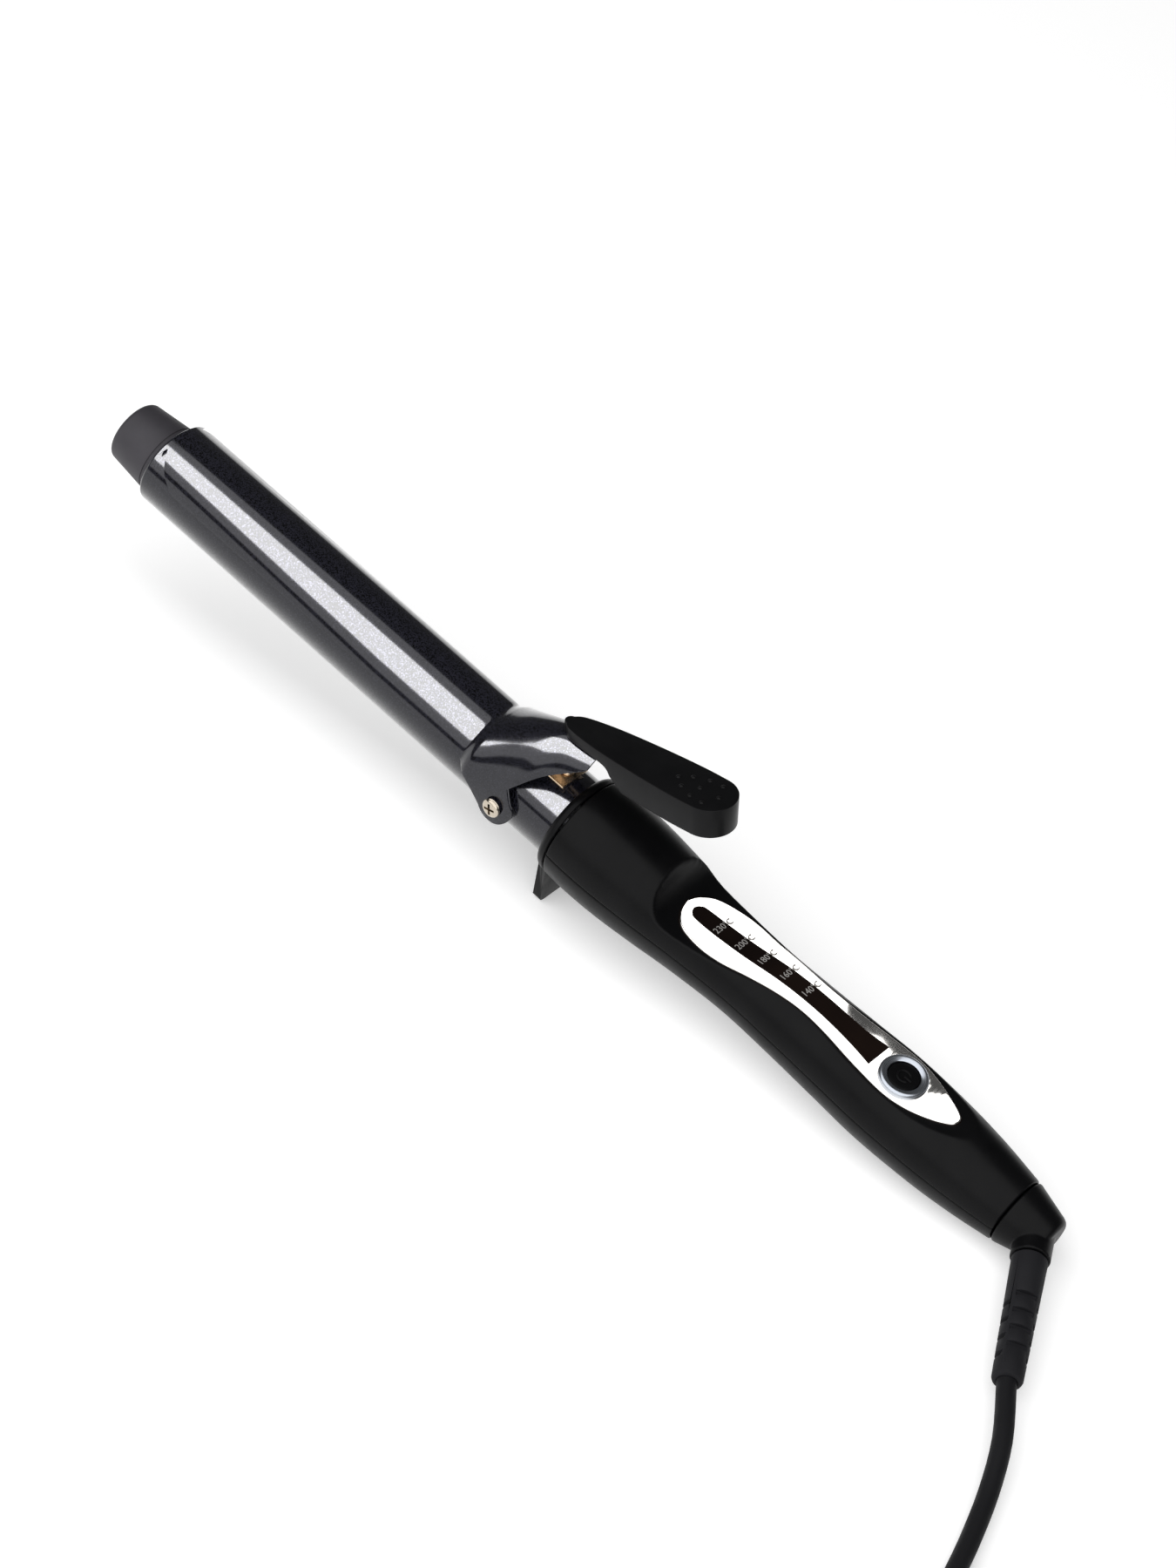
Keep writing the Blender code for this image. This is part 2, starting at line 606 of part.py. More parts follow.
def clip_plate(iron):
    origin = (PIVOT_X, 0, 0)
    plate = iron.add("clamp_plate", clip_sheet(), "gloss_black", origin)
    iron.keep(plate, "clip_side_outline", extruded(clip_outline(), -30 * MM, 30 * MM))
    reach = SADDLE_RADIUS + 2 * MM
    iron.cut(plate, "clip_pivot_hole", rod(PIVOT_SHANK + GAP, (PIVOT_X, -reach, 0), (PIVOT_X, reach, 0)))
    for name, u in LEVER_SCREW_US.items():
        hole = rod(LEVER_SCREW_SHANK + GAP, (u, 0, -LEVER_DEPTH), (u, 0, 0))
        hole.transform(lever_frame())
        iron.cut(plate, "clip_" + name + "_hole", hole)


def lever_outline(inset=0.0):
    """Plan of the lever in its own plane: a narrow round nose that widens to a half-round rear."""
    half = LEVER_HALF_WIDTH
    side = smooth([(0.6 * MM, 1.9 * MM), (5 * MM, 4.2 * MM), (16 * MM, 6.2 * MM), (32 * MM, 7.8 * MM),
                   (46 * MM, half), (LEVER_LENGTH - half, half)], 3)
    rear = arc((LEVER_LENGTH - half, 0), half, 90, 0, 8)[1:]
    upper = [(0, 0)] + [(u, v) for u, v in side] + rear
    lower = [(u, -v) for u, v in reversed(upper[1:-1])]
    middle = LEVER_LENGTH / 2
    shrink = 1 - inset / half
    return [(middle + (u - middle) * shrink, v * shrink) for u, v in upper + lower]


def thumb_lever(iron):
    origin = (PIVOT_X, 0, 0)
    place = lever_frame()
    mesh = extruded(lever_outline(), -LEVER_DEPTH, 0, "XY")
    mesh.transform(place)
    lever = iron.add("thumb_lever", mesh, "soft_black", origin)
    skirt = smooth([(-1 * MM, -LEVER_NOSE), (LEVER_SKIRT_U, -LEVER_NOSE),
                    (LEVER_SKIRT_U + 5 * MM, -LEVER_DEPTH * 0.72),
                    (LEVER_SKIRT_U + 11 * MM, -LEVER_DEPTH - MM)], 3)
    under = extruded(skirt + [(-1 * MM, -LEVER_DEPTH - MM)], -20 * MM, 20 * MM)
    under.transform(place)
    iron.cut(lever, "lever_underside", under)
    pocket_outline = [(u, v) for u, v in lever_outline(LEVER_WALL) if u > LEVER_SKIRT_U + 11 * MM]
    pocket = extruded(pocket_outline, -LEVER_DEPTH - MM, -2.6 * MM, "XY")
    pocket.transform(place)
    iron.cut(lever, "lever_pocket", pocket)
    for name, u in LEVER_SCREW_US.items():
        under_sheet = -LEVER_NOSE - GAP - SHEET - GAP * 2
        top = -LEVER_NOSE + LEVER_SCREW_GRIP
        hole = rod(LEVER_SCREW_SHANK + GAP, (u, 0, -LEVER_DEPTH - MM), (u, 0, top + GAP))
        hole.transform(place)
        iron.cut(lever, "lever_" + name + "_hole", hole)
        head_end = under_sheet - 0.9 * MM
        profile = [(top, 0), (top, LEVER_SCREW_SHANK), (under_sheet, LEVER_SCREW_SHANK),
                   (under_sheet, LEVER_SCREW_HEAD), (head_end, LEVER_SCREW_HEAD), (head_end, 0)]
        screw = turned(profile, Z_AXIS, (u, 0, 0), SMALL_STEPS)
        screw.transform(place)
        iron.add(name, screw, "nickel", origin)


def clip_spring(iron):
    """A leaf bent into a hairpin: its base lies on the barrel and its arm presses the tongue up."""
    half = SPRING_SHEET / 2
    base = BARREL_RADIUS + GAP + half
    radius = SPRING_BEND_RADIUS
    arm_start = (SPRING_BEND_X, base + 2 * radius)
    arm_x = -5.0 * MM
    arm_end = (arm_x, tongue_height(arm_x) - SHEET - 1.3 * MM)
    bend = arc((SPRING_BEND_X, base + radius), radius, 270, 90, 10)
    lift = (arm_end[1] - arm_start[1]) / (arm_end[0] - arm_start[0])
    arm = smooth([arm_start, (-12 * MM, arm_start[1] + lift * 5 * MM), arm_end], 3)[1:]
    middle = [(SPRING_REAR_X, base)] + bend + arm
    outer, inner = offset_line(middle, half), offset_line(middle, -half)
    mesh = extruded(outer + inner[::-1], -SPRING_HALF_WIDTH, SPRING_HALF_WIDTH)
    spring = iron.add("clip_spring", mesh, "brass")
    arm_base = base + radius
    for side in (-1, 1):
        near, far = sorted((side * SPRING_ARM_HALF_WIDTH, side * 2 * SPRING_HALF_WIDTH))
        beside_arm = box((-40 * MM, near, arm_base), (20 * MM, far, 60 * MM))
        iron.cut(spring, f"spring_arm_side_{side + 1}", beside_arm)
    iron.cut(spring, "spring_screw_hole", rod(PIVOT_SHANK + GAP, (SPRING_SCREW_X, 0, base - MM),
                                              (SPRING_SCREW_X, 0, base + MM)))
    head = base + half + GAP
    head_radius = 2.25 * MM
    top = head + 1.1 * MM
    profile = [(top, 0), (top, head_radius - 0.5 * MM), (head + 0.6 * MM, head_radius),
               (head, head_radius), (head, PIVOT_SHANK), (head - 4 * MM, PIVOT_SHANK), (head - 4 * MM, 0)]
    screw = iron.add("spring_screw", turned(profile, Z_AXIS, (SPRING_SCREW_X, 0, 0), SMALL_STEPS), "nickel")
    cross_recess(iron, screw, Vector((SPRING_SCREW_X, 0, top)), Z_AXIS, head_radius)


# ---------------------------------------------------------------- collar and handle

def handle_line(inset=0.0):
    return [(x, r - inset) for x, r in smooth(in_metres(HANDLE_RADII), 2)]


def panel_line(offset=0.0):
    return [(x, z + offset) for x, z in smooth(in_metres(PANEL_HEIGHTS), 2)]


def ground_level():
    """Height of the surface below the barrel's axis, measured square to the surface."""
    return min(-x * math.sin(TILT) - r * math.cos(TILT) for x, r in handle_line())


def collar(iron):
    inner = BARREL_RADIUS + GAP
    bulge = smooth([(0, COLLAR_FRONT_RADIUS), (0.5 * MM, COLLAR_RADIUS - 1.0 * MM),
                    (1.6 * MM, COLLAR_RADIUS - 0.2 * MM), (COLLAR_LENGTH, COLLAR_RADIUS)], 3)
    ring = iron.add("stand_collar", turned([(0, inner)] + bulge + [(COLLAR_LENGTH, inner)]), "soft_black")
    ground = ground_level() / math.cos(TILT)
    toe = ground - 4 * MM
    corner = FOOT_CORNER
    half, top_half = FOOT_TOE_HALF_WIDTH, FOOT_TOP_HALF_WIDTH
    near = [(top_half, -10 * MM), (half + 0.3 * MM, ground + corner),
            (half - 0.5 * MM, ground + corner * 0.4), (half - 2 * MM, toe)]
    outline = near + [(-y, z) for y, z in reversed(near)]
    iron.join(ring, "foot_plate", extruded(outline, 0, FOOT_THICKNESS, "YZ"))
    iron.cut(ring, "collar_bore", rod(inner, (-MM, 0, 0), (COLLAR_LENGTH + MM, 0, 0), ROUND_STEPS))
    level = Matrix.Rotation(-TILT, 4, "Y")
    below = box((-20 * MM, -20 * MM, ground_level() - 20 * MM), (20 * MM, 20 * MM, ground_level()), level)
    iron.cut(ring, "foot_floor", below)


def handle_body():
    outer = [point for point in handle_line() if point[0] < HANDLE_REAR_X]
    rear = [(HANDLE_REAR_X, outer[-1][1] - 0.3 * MM), (HANDLE_REAR_X, 0)]
    return turned([(HANDLE_FRONT_X, 0)] + outer + rear)


def handle_cavity():
    end = HANDLE_REAR_X - REAR_WALL
    inner = [point for point in handle_line(SHELL_WALL) if point[0] < end]
    throat = SPIGOT_RADIUS + GAP
    return turned([(HANDLE_FRONT_X - MM, 0), (HANDLE_FRONT_X - MM, inner[0][1])] + inner +
                  [(end, inner[-1][1] - 0.4 * MM), (end, throat), (HANDLE_REAR_X + MM, throat),
                   (HANDLE_REAR_X + MM, 0)])


def below_panel(offset=0.0):
    """Everything below the panel's face, which is flat from side to side."""
    line = panel_line(offset)
    far, deep = 30 * MM, -40 * MM
    outline = [(-far, far), (line[0][0], far)] + line + [(line[-1][0] + MM, far), (HANDLE_REAR_X + far, far),
                                                         (HANDLE_REAR_X + far, deep), (-far, deep)]
    return extruded(outline, -far, far)


def panel_slab(low, high):
    """A band that follows the panel's face between two offsets from it."""
    return extruded(panel_line(high) + panel_line(low)[::-1], -30 * MM, 30 * MM)


def handle_shells(iron):
    far = 60 * MM
    for name, side in (("handle_upper", 1), ("handle_lower", -1)):
        shell = iron.add(name, handle_body(), "soft_black")
        cavity = iron.cut(shell, name + "_cavity", handle_cavity())
        if side > 0:
            iron.keep(shell, "panel_face", below_panel())
            iron.keep(cavity, "panel_underside", below_panel(-PANEL_FLOOR))
            shell.modifiers.move(1, 0)
        edge = GAP / 2 * side
        low, high = sorted((edge, -far * side))
        iron.cut(shell, name + "_other_half", box((-far, -far, low), (HANDLE_REAR_X + far, far, high)))
        shell_bosses(iron, shell, side)
        if side > 0:
            panel_cuts(iron, shell)
        else:
            board_ribs(iron, shell)


def shell_bosses(iron, shell, side):
    for name, x in SHELL_SCREW_XS.items():
        wall = height_at(handle_line(SHELL_WALL / 2), x)
        top = min(wall, height_at(panel_line(-PANEL_FLOOR / 2), x)) if side > 0 else wall
        start, end = side * GAP / 2, side * top
        boss = rod(BOSS_RADIUS - MM * (side > 0), (x, 0, start), (x, 0, end))
        iron.join(shell, f"{shell.name}_{name}_boss", boss)
        hole = SHELL_SCREW_SHANK + GAP
        if side > 0:
            pilot_end = SHELL_SCREW_HEAD_Z + SHELL_SCREW_LENGTH + GAP
            iron.cut(shell, f"{name}_pilot", rod(hole, (x, 0, -MM), (x, 0, pilot_end)))
        else:
            iron.cut(shell, f"{name}_hole", rod(hole, (x, 0, -far_below(x)), (x, 0, MM)))
            iron.cut(shell, f"{name}_counterbore",
                     rod(SHELL_SCREW_HEAD + GAP, (x, 0, -far_below(x)), (x, 0, SHELL_SCREW_HEAD_Z)))


def far_below(x):
    return height_at(handle_line(), x) + MM


def panel_cuts(iron, shell):
    pocket = iron.cut(shell, "trim_pocket", extruded(both_sides(TRIM_HALF_WIDTHS, GAP), 0, 30 * MM, "XY"))
    iron.keep(pocket, "trim_pocket_floor", panel_slab(-TRIM_SUNK - GAP, 20 * MM))
    first, last = min(LED_XS.values()) - 3 * MM, max(LED_XS.values()) + 3 * MM
    iron.cut(shell, "light_slot", box((first, -1.5 * MM, 0), (last, 1.5 * MM, 30 * MM)))
    iron.cut(shell, "button_hole", rod(BUTTON_RADIUS + GAP, (BUTTON_X, 0, MM), (BUTTON_X, 0, 30 * MM)))


def board_ribs(iron, shell):
    for index, x in enumerate((BOARD_FRONT_X + 10 * MM, BOARD_REAR_X - 10 * MM)):
        floor = -height_at(handle_line(SHELL_WALL / 2), x)
        top = BOARD_TOP_Z - BOARD_THICKNESS - GAP
        iron.join(shell, f"board_rib_{index}", box((x - MM, -4 * MM, floor), (x + MM, 4 * MM, top)))


def handle_screws(iron):
    for name, x in SHELL_SCREW_XS.items():
        head = SHELL_SCREW_HEAD_Z - GAP
        tip = head + SHELL_SCREW_LENGTH
        low = head - 1.6 * MM
        profile = [(tip, 0), (tip - MM, SHELL_SCREW_SHANK), (head, SHELL_SCREW_SHANK),
                   (head, SHELL_SCREW_HEAD), (low, SHELL_SCREW_HEAD), (low, 0)]
        screw = iron.add(name, turned(profile, Z_AXIS, (x, 0, 0), SMALL_STEPS), "nickel")
        cross_recess(iron, screw, Vector((x, 0, low)), -Z_AXIS, SHELL_SCREW_HEAD)


def insulator(iron):
    front = HANDLE_FRONT_X + MM
    rear = front + INSULATOR_LENGTH
    inner, outer = BARREL_RADIUS + GAP, HANDLE_RADII[0][1] * MM - SHELL_WALL - GAP
    ring = [(front, outer), (rear, outer), (rear, inner), (front, inner)]
    iron.add("barrel_insulator", turned(ring), "ceramic")


# ---------------------------------------------------------------- panel, button and electronics

def panel_pieces(iron):
    far = 30 * MM
    trim = iron.add("panel_trim", extruded(both_sides(TRIM_HALF_WIDTHS), 0, far, "XY"), "chrome")
    iron.keep(trim, "trim_band", panel_slab(-TRIM_SUNK, TRIM_PROUD))
    iron.cut(trim, "window_opening", extruded(both_sides(WINDOW_HALF_WIDTHS, GAP), 0, far, "XY"))
    iron.cut(trim, "bezel_opening", rod(BEZEL_RADIUS + GAP, (BUTTON_X, 0, 0), (BUTTON_X, 0, far), 36))
    mesh = extruded(both_sides(WINDOW_HALF_WIDTHS), 0, far, "XY")
    window = iron.add("display_window", mesh, "dark_window")
    iron.keep(window, "window_band", panel_slab(-TRIM_SUNK, TRIM_PROUD - 0.1 * MM))
    face = height_at(panel_line(), BUTTON_X)
    low, rim = face - TRIM_SUNK, face + TRIM_PROUD
    top = rim + BEZEL_PROUD - TRIM_PROUD
    inner = BUTTON_RADIUS + GAP
    profile = [(low, inner), (low, BEZEL_RADIUS), (rim, BEZEL_RADIUS), (top, BEZEL_RADIUS - 1.1 * MM),
               (top, inner + 0.5 * MM), (top - 0.5 * MM, inner)]
    iron.add("button_bezel", turned(profile, Z_AXIS, (BUTTON_X, 0, 0), 36), "brushed")


def button(iron):
    board = BOARD_TOP_Z + GAP
    switch_top = board + SWITCH_HEIGHT
    plunger_top = switch_top + SWITCH_PLUNGER
    stem_end = plunger_top + BUTTON_TRAVEL + GAP
    cap_low = BUTTON_FACE_Z - BUTTON_CAP
    profile = [(stem_end, 0), (stem_end, BUTTON_STEM), (cap_low, BUTTON_STEM), (cap_low, BUTTON_RADIUS),
               (BUTTON_FACE_Z - 0.5 * MM, BUTTON_RADIUS), (BUTTON_FACE_Z, BUTTON_RADIUS - 0.5 * MM),
               (BUTTON_FACE_Z, 0)]
    place = (BUTTON_X, 0, 0)
    origin = (BUTTON_X, 0, BUTTON_FACE_Z)
    iron.add("power_button", turned(profile, Z_AXIS, place, 36), "soft_black", origin)
    half = SWITCH_SIZE / 2
    housing = box((BUTTON_X - half, -half, board), (BUTTON_X + half, half, switch_top))
    switch = iron.add("tact_switch", housing, "soft_black")
    iron.join(switch, "switch_plunger", rod(1.6 * MM, (BUTTON_X, 0, board + MM), (BUTTON_X, 0, plunger_top)))


def electronics(iron):
    low = BOARD_TOP_Z - BOARD_THICKNESS
    iron.add("control_board", box((BOARD_FRONT_X, -BOARD_HALF_WIDTH, low),
                                  (BOARD_REAR_X, BOARD_HALF_WIDTH, BOARD_TOP_Z)), "board_green")
    long, wide, high = LED_SIZE
    for label, x in LED_XS.items():
        base = BOARD_TOP_Z + GAP
        lamp = box((x - long / 2, -wide / 2, base), (x + long / 2, wide / 2, base + high))
        iron.add(f"indicator_led_{label}", lamp, "ceramic")


def leads(iron):
    heater_rear = HEATER_FRONT_X + HEATER_LENGTH + GAP
    bead_rear = HEATER_FRONT_X + HEATER_LENGTH + SPREADER_OVERHANG / 2 + THERMISTOR_LENGTH + 2 * GAP
    board_front, board_rear = BOARD_FRONT_X - GAP, BOARD_REAR_X + GAP
    slip_front = SLIP_BASE_X - GAP
    bead_z = BORE_FIT / 2
    board_z = BOARD_TOP_Z - BOARD_THICKNESS / 2
    side, wide = 4.5 * MM, BOSS_RADIUS + LEAD_RADIUS + 2 * GAP
    boss_x = SHELL_SCREW_XS["handle_screw_front"]
    routes = {"thermistor_lead": [(bead_rear, 0, bead_z), (PIVOT_X, MM, 3 * MM), (boss_x / 2, side, 4 * MM),
                                  (boss_x, wide + 3 * MM, 2 * MM), (board_front, side + 0.6 * MM, board_z)]}
    for name, hand in (("live", -1), ("neutral", 1)):
        routes["heater_lead_" + name] = [(heater_rear, hand * 3 * MM, 0), (PIVOT_X, hand * side, -MM),
                                         (boss_x, hand * wide, -MM), (board_front, hand * 2.6 * MM, board_z)]
        routes["supply_lead_" + name] = [(board_rear, hand * side, board_z),
                                         (SHELL_SCREW_XS["handle_screw_rear"], hand * wide, MM),
                                         (slip_front, hand * side, 0)]
    for name, points in routes.items():
        iron.add(name, tube(smooth(points, 4), LEAD_RADIUS, 1), "copper")


# ---------------------------------------------------------------- swivel and cord

def slip_rings(iron):
    x0, x1 = SLIP_BASE_X, SLIP_BASE_X + SLIP_BASE_THICKNESS
    disc = [(x0, 0), (x0, SLIP_BASE_RADIUS), (x1, SLIP_BASE_RADIUS), (x1, 0)]
    iron.add("slip_ring_base", turned(disc), "ceramic")
    ring_x0 = x1 + GAP
    ring_x1 = ring_x0 + SLIP_RING_THICKNESS
    for name, (inner, outer) in SLIP_RINGS.items():
        ring = [(ring_x0, inner), (ring_x0, outer), (ring_x1, outer), (ring_x1, inner)]
        iron.add(f"slip_ring_{name}", turned(ring, steps=32), "copper")
        y = (inner + outer) / 2
        iron.add(f"brush_{name}", rod(BRUSH_RADIUS, (ring_x1 + GAP, y, 0), (SPIGOT_FRONT_X - GAP, y, 0), 12),
                 "copper", (SWIVEL_JOINT_X, 0, 0))


def swivel(iron):
    joint, rear = SWIVEL_JOINT_X, SWIVEL_JOINT_X + CAP_LENGTH
    wall_front = HANDLE_REAR_X - REAR_WALL
    flange_rear = wall_front - GAP
    profile = [(SPIGOT_FRONT_X, 0), (SPIGOT_FRONT_X, FLANGE_RADIUS), (flange_rear, FLANGE_RADIUS),
               (flange_rear, SPIGOT_RADIUS), (joint, SPIGOT_RADIUS), (joint, CAP_FRONT_RADIUS - 0.3 * MM),
               (joint + 0.3 * MM, CAP_FRONT_RADIUS), (rear - 1.2 * MM, CAP_REAR_RADIUS + 0.3 * MM),
               (rear - 0.3 * MM, CAP_REAR_RADIUS - 0.5 * MM), (rear, CAP_REAR_RADIUS - 1.6 * MM), (rear, 0)]
    origin = (joint, 0, 0)
    cap = iron.add("swivel_cap", turned(profile), "soft_black", origin)
    root = Vector((BOSS_X, 0, 0))
    end = root + BOSS_DIRECTION * CORD_BOSS_LENGTH
    iron.join(cap, "cord_boss", rod(CORD_BOSS_RADIUS, root, end, 32))
    iron.cut(cap, "cap_bore", rod(CAP_BORE, (SPIGOT_FRONT_X - MM, 0, 0), (BOSS_X + MM, 0, 0)))
    iron.cut(cap, "boss_bore", rod(RELIEF_NECK + GAP, root + BOSS_DIRECTION * MM, end + BOSS_DIRECTION * MM))
    strain_relief(iron, end, origin)


def strain_relief(iron, boss_end, origin):
    start = GAP
    end = start + RELIEF_LENGTH
    bore = CORD_RADIUS + GAP
    neck = -RELIEF_NECK_LENGTH
    profile = [(neck, bore), (neck, RELIEF_NECK), (start, RELIEF_NECK), (start, RELIEF_RADIUS),
               (end - 0.4 * MM, RELIEF_END_RADIUS), (end, RELIEF_END_RADIUS - 0.4 * MM), (end, bore)]
    relief = iron.add("strain_relief", turned(profile, BOSS_DIRECTION, boss_end, 32), "rubber", origin)
    turn = Matrix.Translation(boss_end) @ facing(BOSS_DIRECTION)
    pitch, width, first = 6.0 * MM, 1.8 * MM, 15.0 * MM
    rows = int((RELIEF_LENGTH - first) / pitch)
    for row in range(rows):
        at = first + row * pitch
        between = at + pitch / 2
        for side in (-1, 1):
            near, far = sorted((side * (CORD_RADIUS + 0.8 * MM), side * 8 * MM))
            iron.cut(relief, f"relief_slot_{row}_{side + 1}",
                     box((-3.2 * MM, near, at), (3.2 * MM, far, at + width), turn))
            iron.cut(relief, f"relief_slot_{row}_{side + 2}x",
                     box((near, -3.2 * MM, between), (far, 3.2 * MM, between + width), turn))


def relief_end():
    length = CORD_BOSS_LENGTH + GAP + RELIEF_LENGTH + GAP
    return Vector((BOSS_X, 0, 0)) + BOSS_DIRECTION * length


def cord_pieces(iron):
    bpy.context.view_layer.update()
    exit_point = iron.frame.matrix_world @ relief_end()
    beside = Matrix.Translation((exit_point.x, exit_point.y, 0))
    route, tail = ([tuple(beside @ Vector(point)) for point in in_metres(points)]
                   for points in (CORD_ROUTE, TAIL_ROUTE))
    centre = beside @ (Vector(COIL_CENTRE) * MM)
    iron.add("cord", tube(smooth([tuple(exit_point)] + route, 2), CORD_RADIUS), "rubber", in_world=True)
    iron.add("cord_tail", tube(smooth(tail, 1), CORD_RADIUS), "rubber", in_world=True)
    half = COIL_LAYERS * CORD_RADIUS
    low, high = COIL_LIFT, COIL_LIFT + COIL_LAYERS * 2 * CORD_RADIUS
    edge = CORD_RADIUS * 0.8
    inner, outer = COIL_MEAN_RADIUS - half, COIL_MEAN_RADIUS + half
    ring = [(low, inner + edge), (low, outer - edge), (low + edge, outer), (high - edge, outer),
            (high, outer - edge), (high, inner + edge), (high - edge, inner), (low + edge, inner)]
    iron.add("cord_coil", turned(ring, Z_AXIS, centre, 40), "rubber", in_world=True)
    tie(iron, centre, inner - GAP, outer + GAP, low - GAP, high + GAP)
    plug(iron, Vector(tail[-2]), Vector(tail[-1]))


def tie(iron, centre, inner, outer, low, high):
    thick = TIE_THICKNESS
    place = Matrix.Translation(centre) @ Matrix.Rotation(TIE_ANGLE, 4, "Z")
    half = TIE_WIDTH / 2
    bow = outer - math.sqrt(outer ** 2 - half ** 2) + 0.1 * MM
    near, far = inner - thick, outer + thick + bow
    loop = [(near, low - thick), (far, low - thick), (far, high + thick), (near, high + thick)]
    band = extruded(loop, -half, half)
    band.transform(place)
    obj = iron.add("cord_tie", band, "rubber", in_world=True)
    opening = box((inner - bow, -2 * half, low), (outer + bow, 2 * half, high), place)
    cutter = iron.cut(obj, "tie_opening", opening)
    cutter.parent = None


def plug(iron, before, start):
    """The plug and its two pins, in line with the cord's last stretch."""
    along = Vector((start.x - before.x, start.y - before.y, 0)).normalized()
    start = start + along * GAP
    start.z = PLUG_HEIGHT / 2 + 0.5 * MM
    place = Matrix.Translation(start) @ Matrix.Rotation(math.atan2(along.y, along.x), 4, "Z")
    neck, end = PLUG_NECK_LENGTH, PLUG_NECK_LENGTH + PLUG_LENGTH
    half = PLUG_WIDTH / 2
    flank = smooth([(0, 4.2 * MM), (neck * 0.7, 4.9 * MM), (neck + 6 * MM, 7.5 * MM),
                    (end - 12 * MM, half - MM), (end, half)], 3)
    mesh = extruded(flank + [(x, -y) for x, y in reversed(flank)], -PLUG_HEIGHT / 2, PLUG_HEIGHT / 2, "XY")
    mesh.transform(place)
    iron.add("plug_body", mesh, "rubber", in_world=True)
    for name, side in (("plug_pin_left", 1), ("plug_pin_right", -1)):
        y = side * PIN_SPACING / 2
        profile = [(end + GAP, 0), (end + GAP, PIN_RADIUS), (end + PIN_LENGTH - 1.5 * MM, PIN_RADIUS),
                   (end + PIN_LENGTH, PIN_RADIUS * 0.4), (end + PIN_LENGTH, 0)]
        pin = turned(profile, X_AXIS, (0, y, 0), SMALL_STEPS)
        pin.transform(place)
        iron.add(name, pin, "brass", in_world=True)


def place_frame(iron):
    """Stands the iron on Z = 0 with the middle of its box, without the relief and cord, at the origin."""
    bpy.context.view_layer.update()
    graph = bpy.context.evaluated_depsgraph_get()
    corners = []
    for obj in iron.pieces.objects:
        if obj.type == "MESH" and obj.name != "strain_relief":
            evaluated = obj.evaluated_get(graph)
            corners += [obj.matrix_world @ vert.co for vert in evaluated.data.vertices]
    xs = [corner.x for corner in corners]
    ys = [corner.y for corner in corners]
    iron.frame.location = (-(min(xs) + max(xs)) / 2, -(min(ys) + max(ys)) / 2, -ground_level())


def build():
    clear_scene()
    iron = Builder()
    for make in (barrel, cool_tip, heating_set, pivot_parts, clip_plate, thumb_lever, clip_spring, collar,
                 handle_shells, handle_screws, insulator, panel_pieces, button, electronics, leads,
                 slip_rings, swivel, place_frame, cord_pieces):
        make(iron)


build()
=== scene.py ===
"""Looks of the curling iron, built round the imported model.

Pieces are drawn in the iron's own frame (X along the barrel towards the cord, Z on the lever's side,
X = 0 at the collar's front face) and placed by IRON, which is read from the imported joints.
"""
import json
import math

import bmesh
import bpy
from mathutils import Matrix, Vector

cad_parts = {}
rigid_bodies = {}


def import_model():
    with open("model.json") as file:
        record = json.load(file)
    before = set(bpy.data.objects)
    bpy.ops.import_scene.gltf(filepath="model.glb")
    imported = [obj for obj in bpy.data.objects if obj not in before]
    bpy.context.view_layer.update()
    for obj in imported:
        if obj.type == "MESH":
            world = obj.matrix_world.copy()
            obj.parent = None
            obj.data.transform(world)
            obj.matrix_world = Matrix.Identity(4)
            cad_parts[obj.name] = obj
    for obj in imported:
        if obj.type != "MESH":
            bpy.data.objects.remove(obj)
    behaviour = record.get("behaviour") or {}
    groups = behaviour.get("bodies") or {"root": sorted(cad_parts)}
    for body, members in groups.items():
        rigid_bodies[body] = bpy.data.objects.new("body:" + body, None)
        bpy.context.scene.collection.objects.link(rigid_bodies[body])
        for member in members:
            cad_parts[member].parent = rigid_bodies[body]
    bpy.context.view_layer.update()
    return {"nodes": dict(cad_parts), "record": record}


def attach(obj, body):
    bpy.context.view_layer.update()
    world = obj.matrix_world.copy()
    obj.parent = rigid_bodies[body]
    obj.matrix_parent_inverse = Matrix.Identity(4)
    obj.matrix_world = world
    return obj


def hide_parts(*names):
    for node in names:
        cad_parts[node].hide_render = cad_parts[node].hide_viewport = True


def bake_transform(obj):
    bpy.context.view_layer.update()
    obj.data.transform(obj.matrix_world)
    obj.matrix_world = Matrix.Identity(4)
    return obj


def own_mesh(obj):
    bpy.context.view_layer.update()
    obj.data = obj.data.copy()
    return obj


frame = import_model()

MM = 0.001
X_AXIS = Vector((1, 0, 0))
Y_AXIS = Vector((0, 1, 0))
Z_AXIS = Vector((0, 0, 1))
JOINTS = {joint["name"]: joint for joint in frame["record"]["behaviour"]["joints"]}

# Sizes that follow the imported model's own
SWIVEL_JOINT_X = 178.6 * MM
SPIGOT_FRONT_X = 170.4 * MM
SPIGOT_RADIUS = 6.4 * MM
AXIS = Vector(JOINTS["cord_swivel"]["axis"])
TILT = math.atan2(-AXIS.z, AXIS.x)
IRON_ORIGIN = Vector(JOINTS["cord_swivel"]["pos_m"]) - AXIS * SWIVEL_JOINT_X
IRON = Matrix.Translation(IRON_ORIGIN) @ Matrix.Rotation(TILT, 4, "Y")
GAP = 0.3 * MM
BARREL_RADIUS = 14.0 * MM
BARREL_BORE = 13.1 * MM
BARREL_FRONT_X = -176.4 * MM
BARREL_REAR_X = 24.0 * MM
TIP_FRONT_X = -193.6 * MM
TIP_FRONT_RADIUS = BARREL_RADIUS - 3.4 * MM
TIP_REAR_RADIUS = BARREL_RADIUS - 1.8 * MM
SHEET = 0.9 * MM
PLATE_RADIUS = BARREL_RADIUS + GAP + SHEET
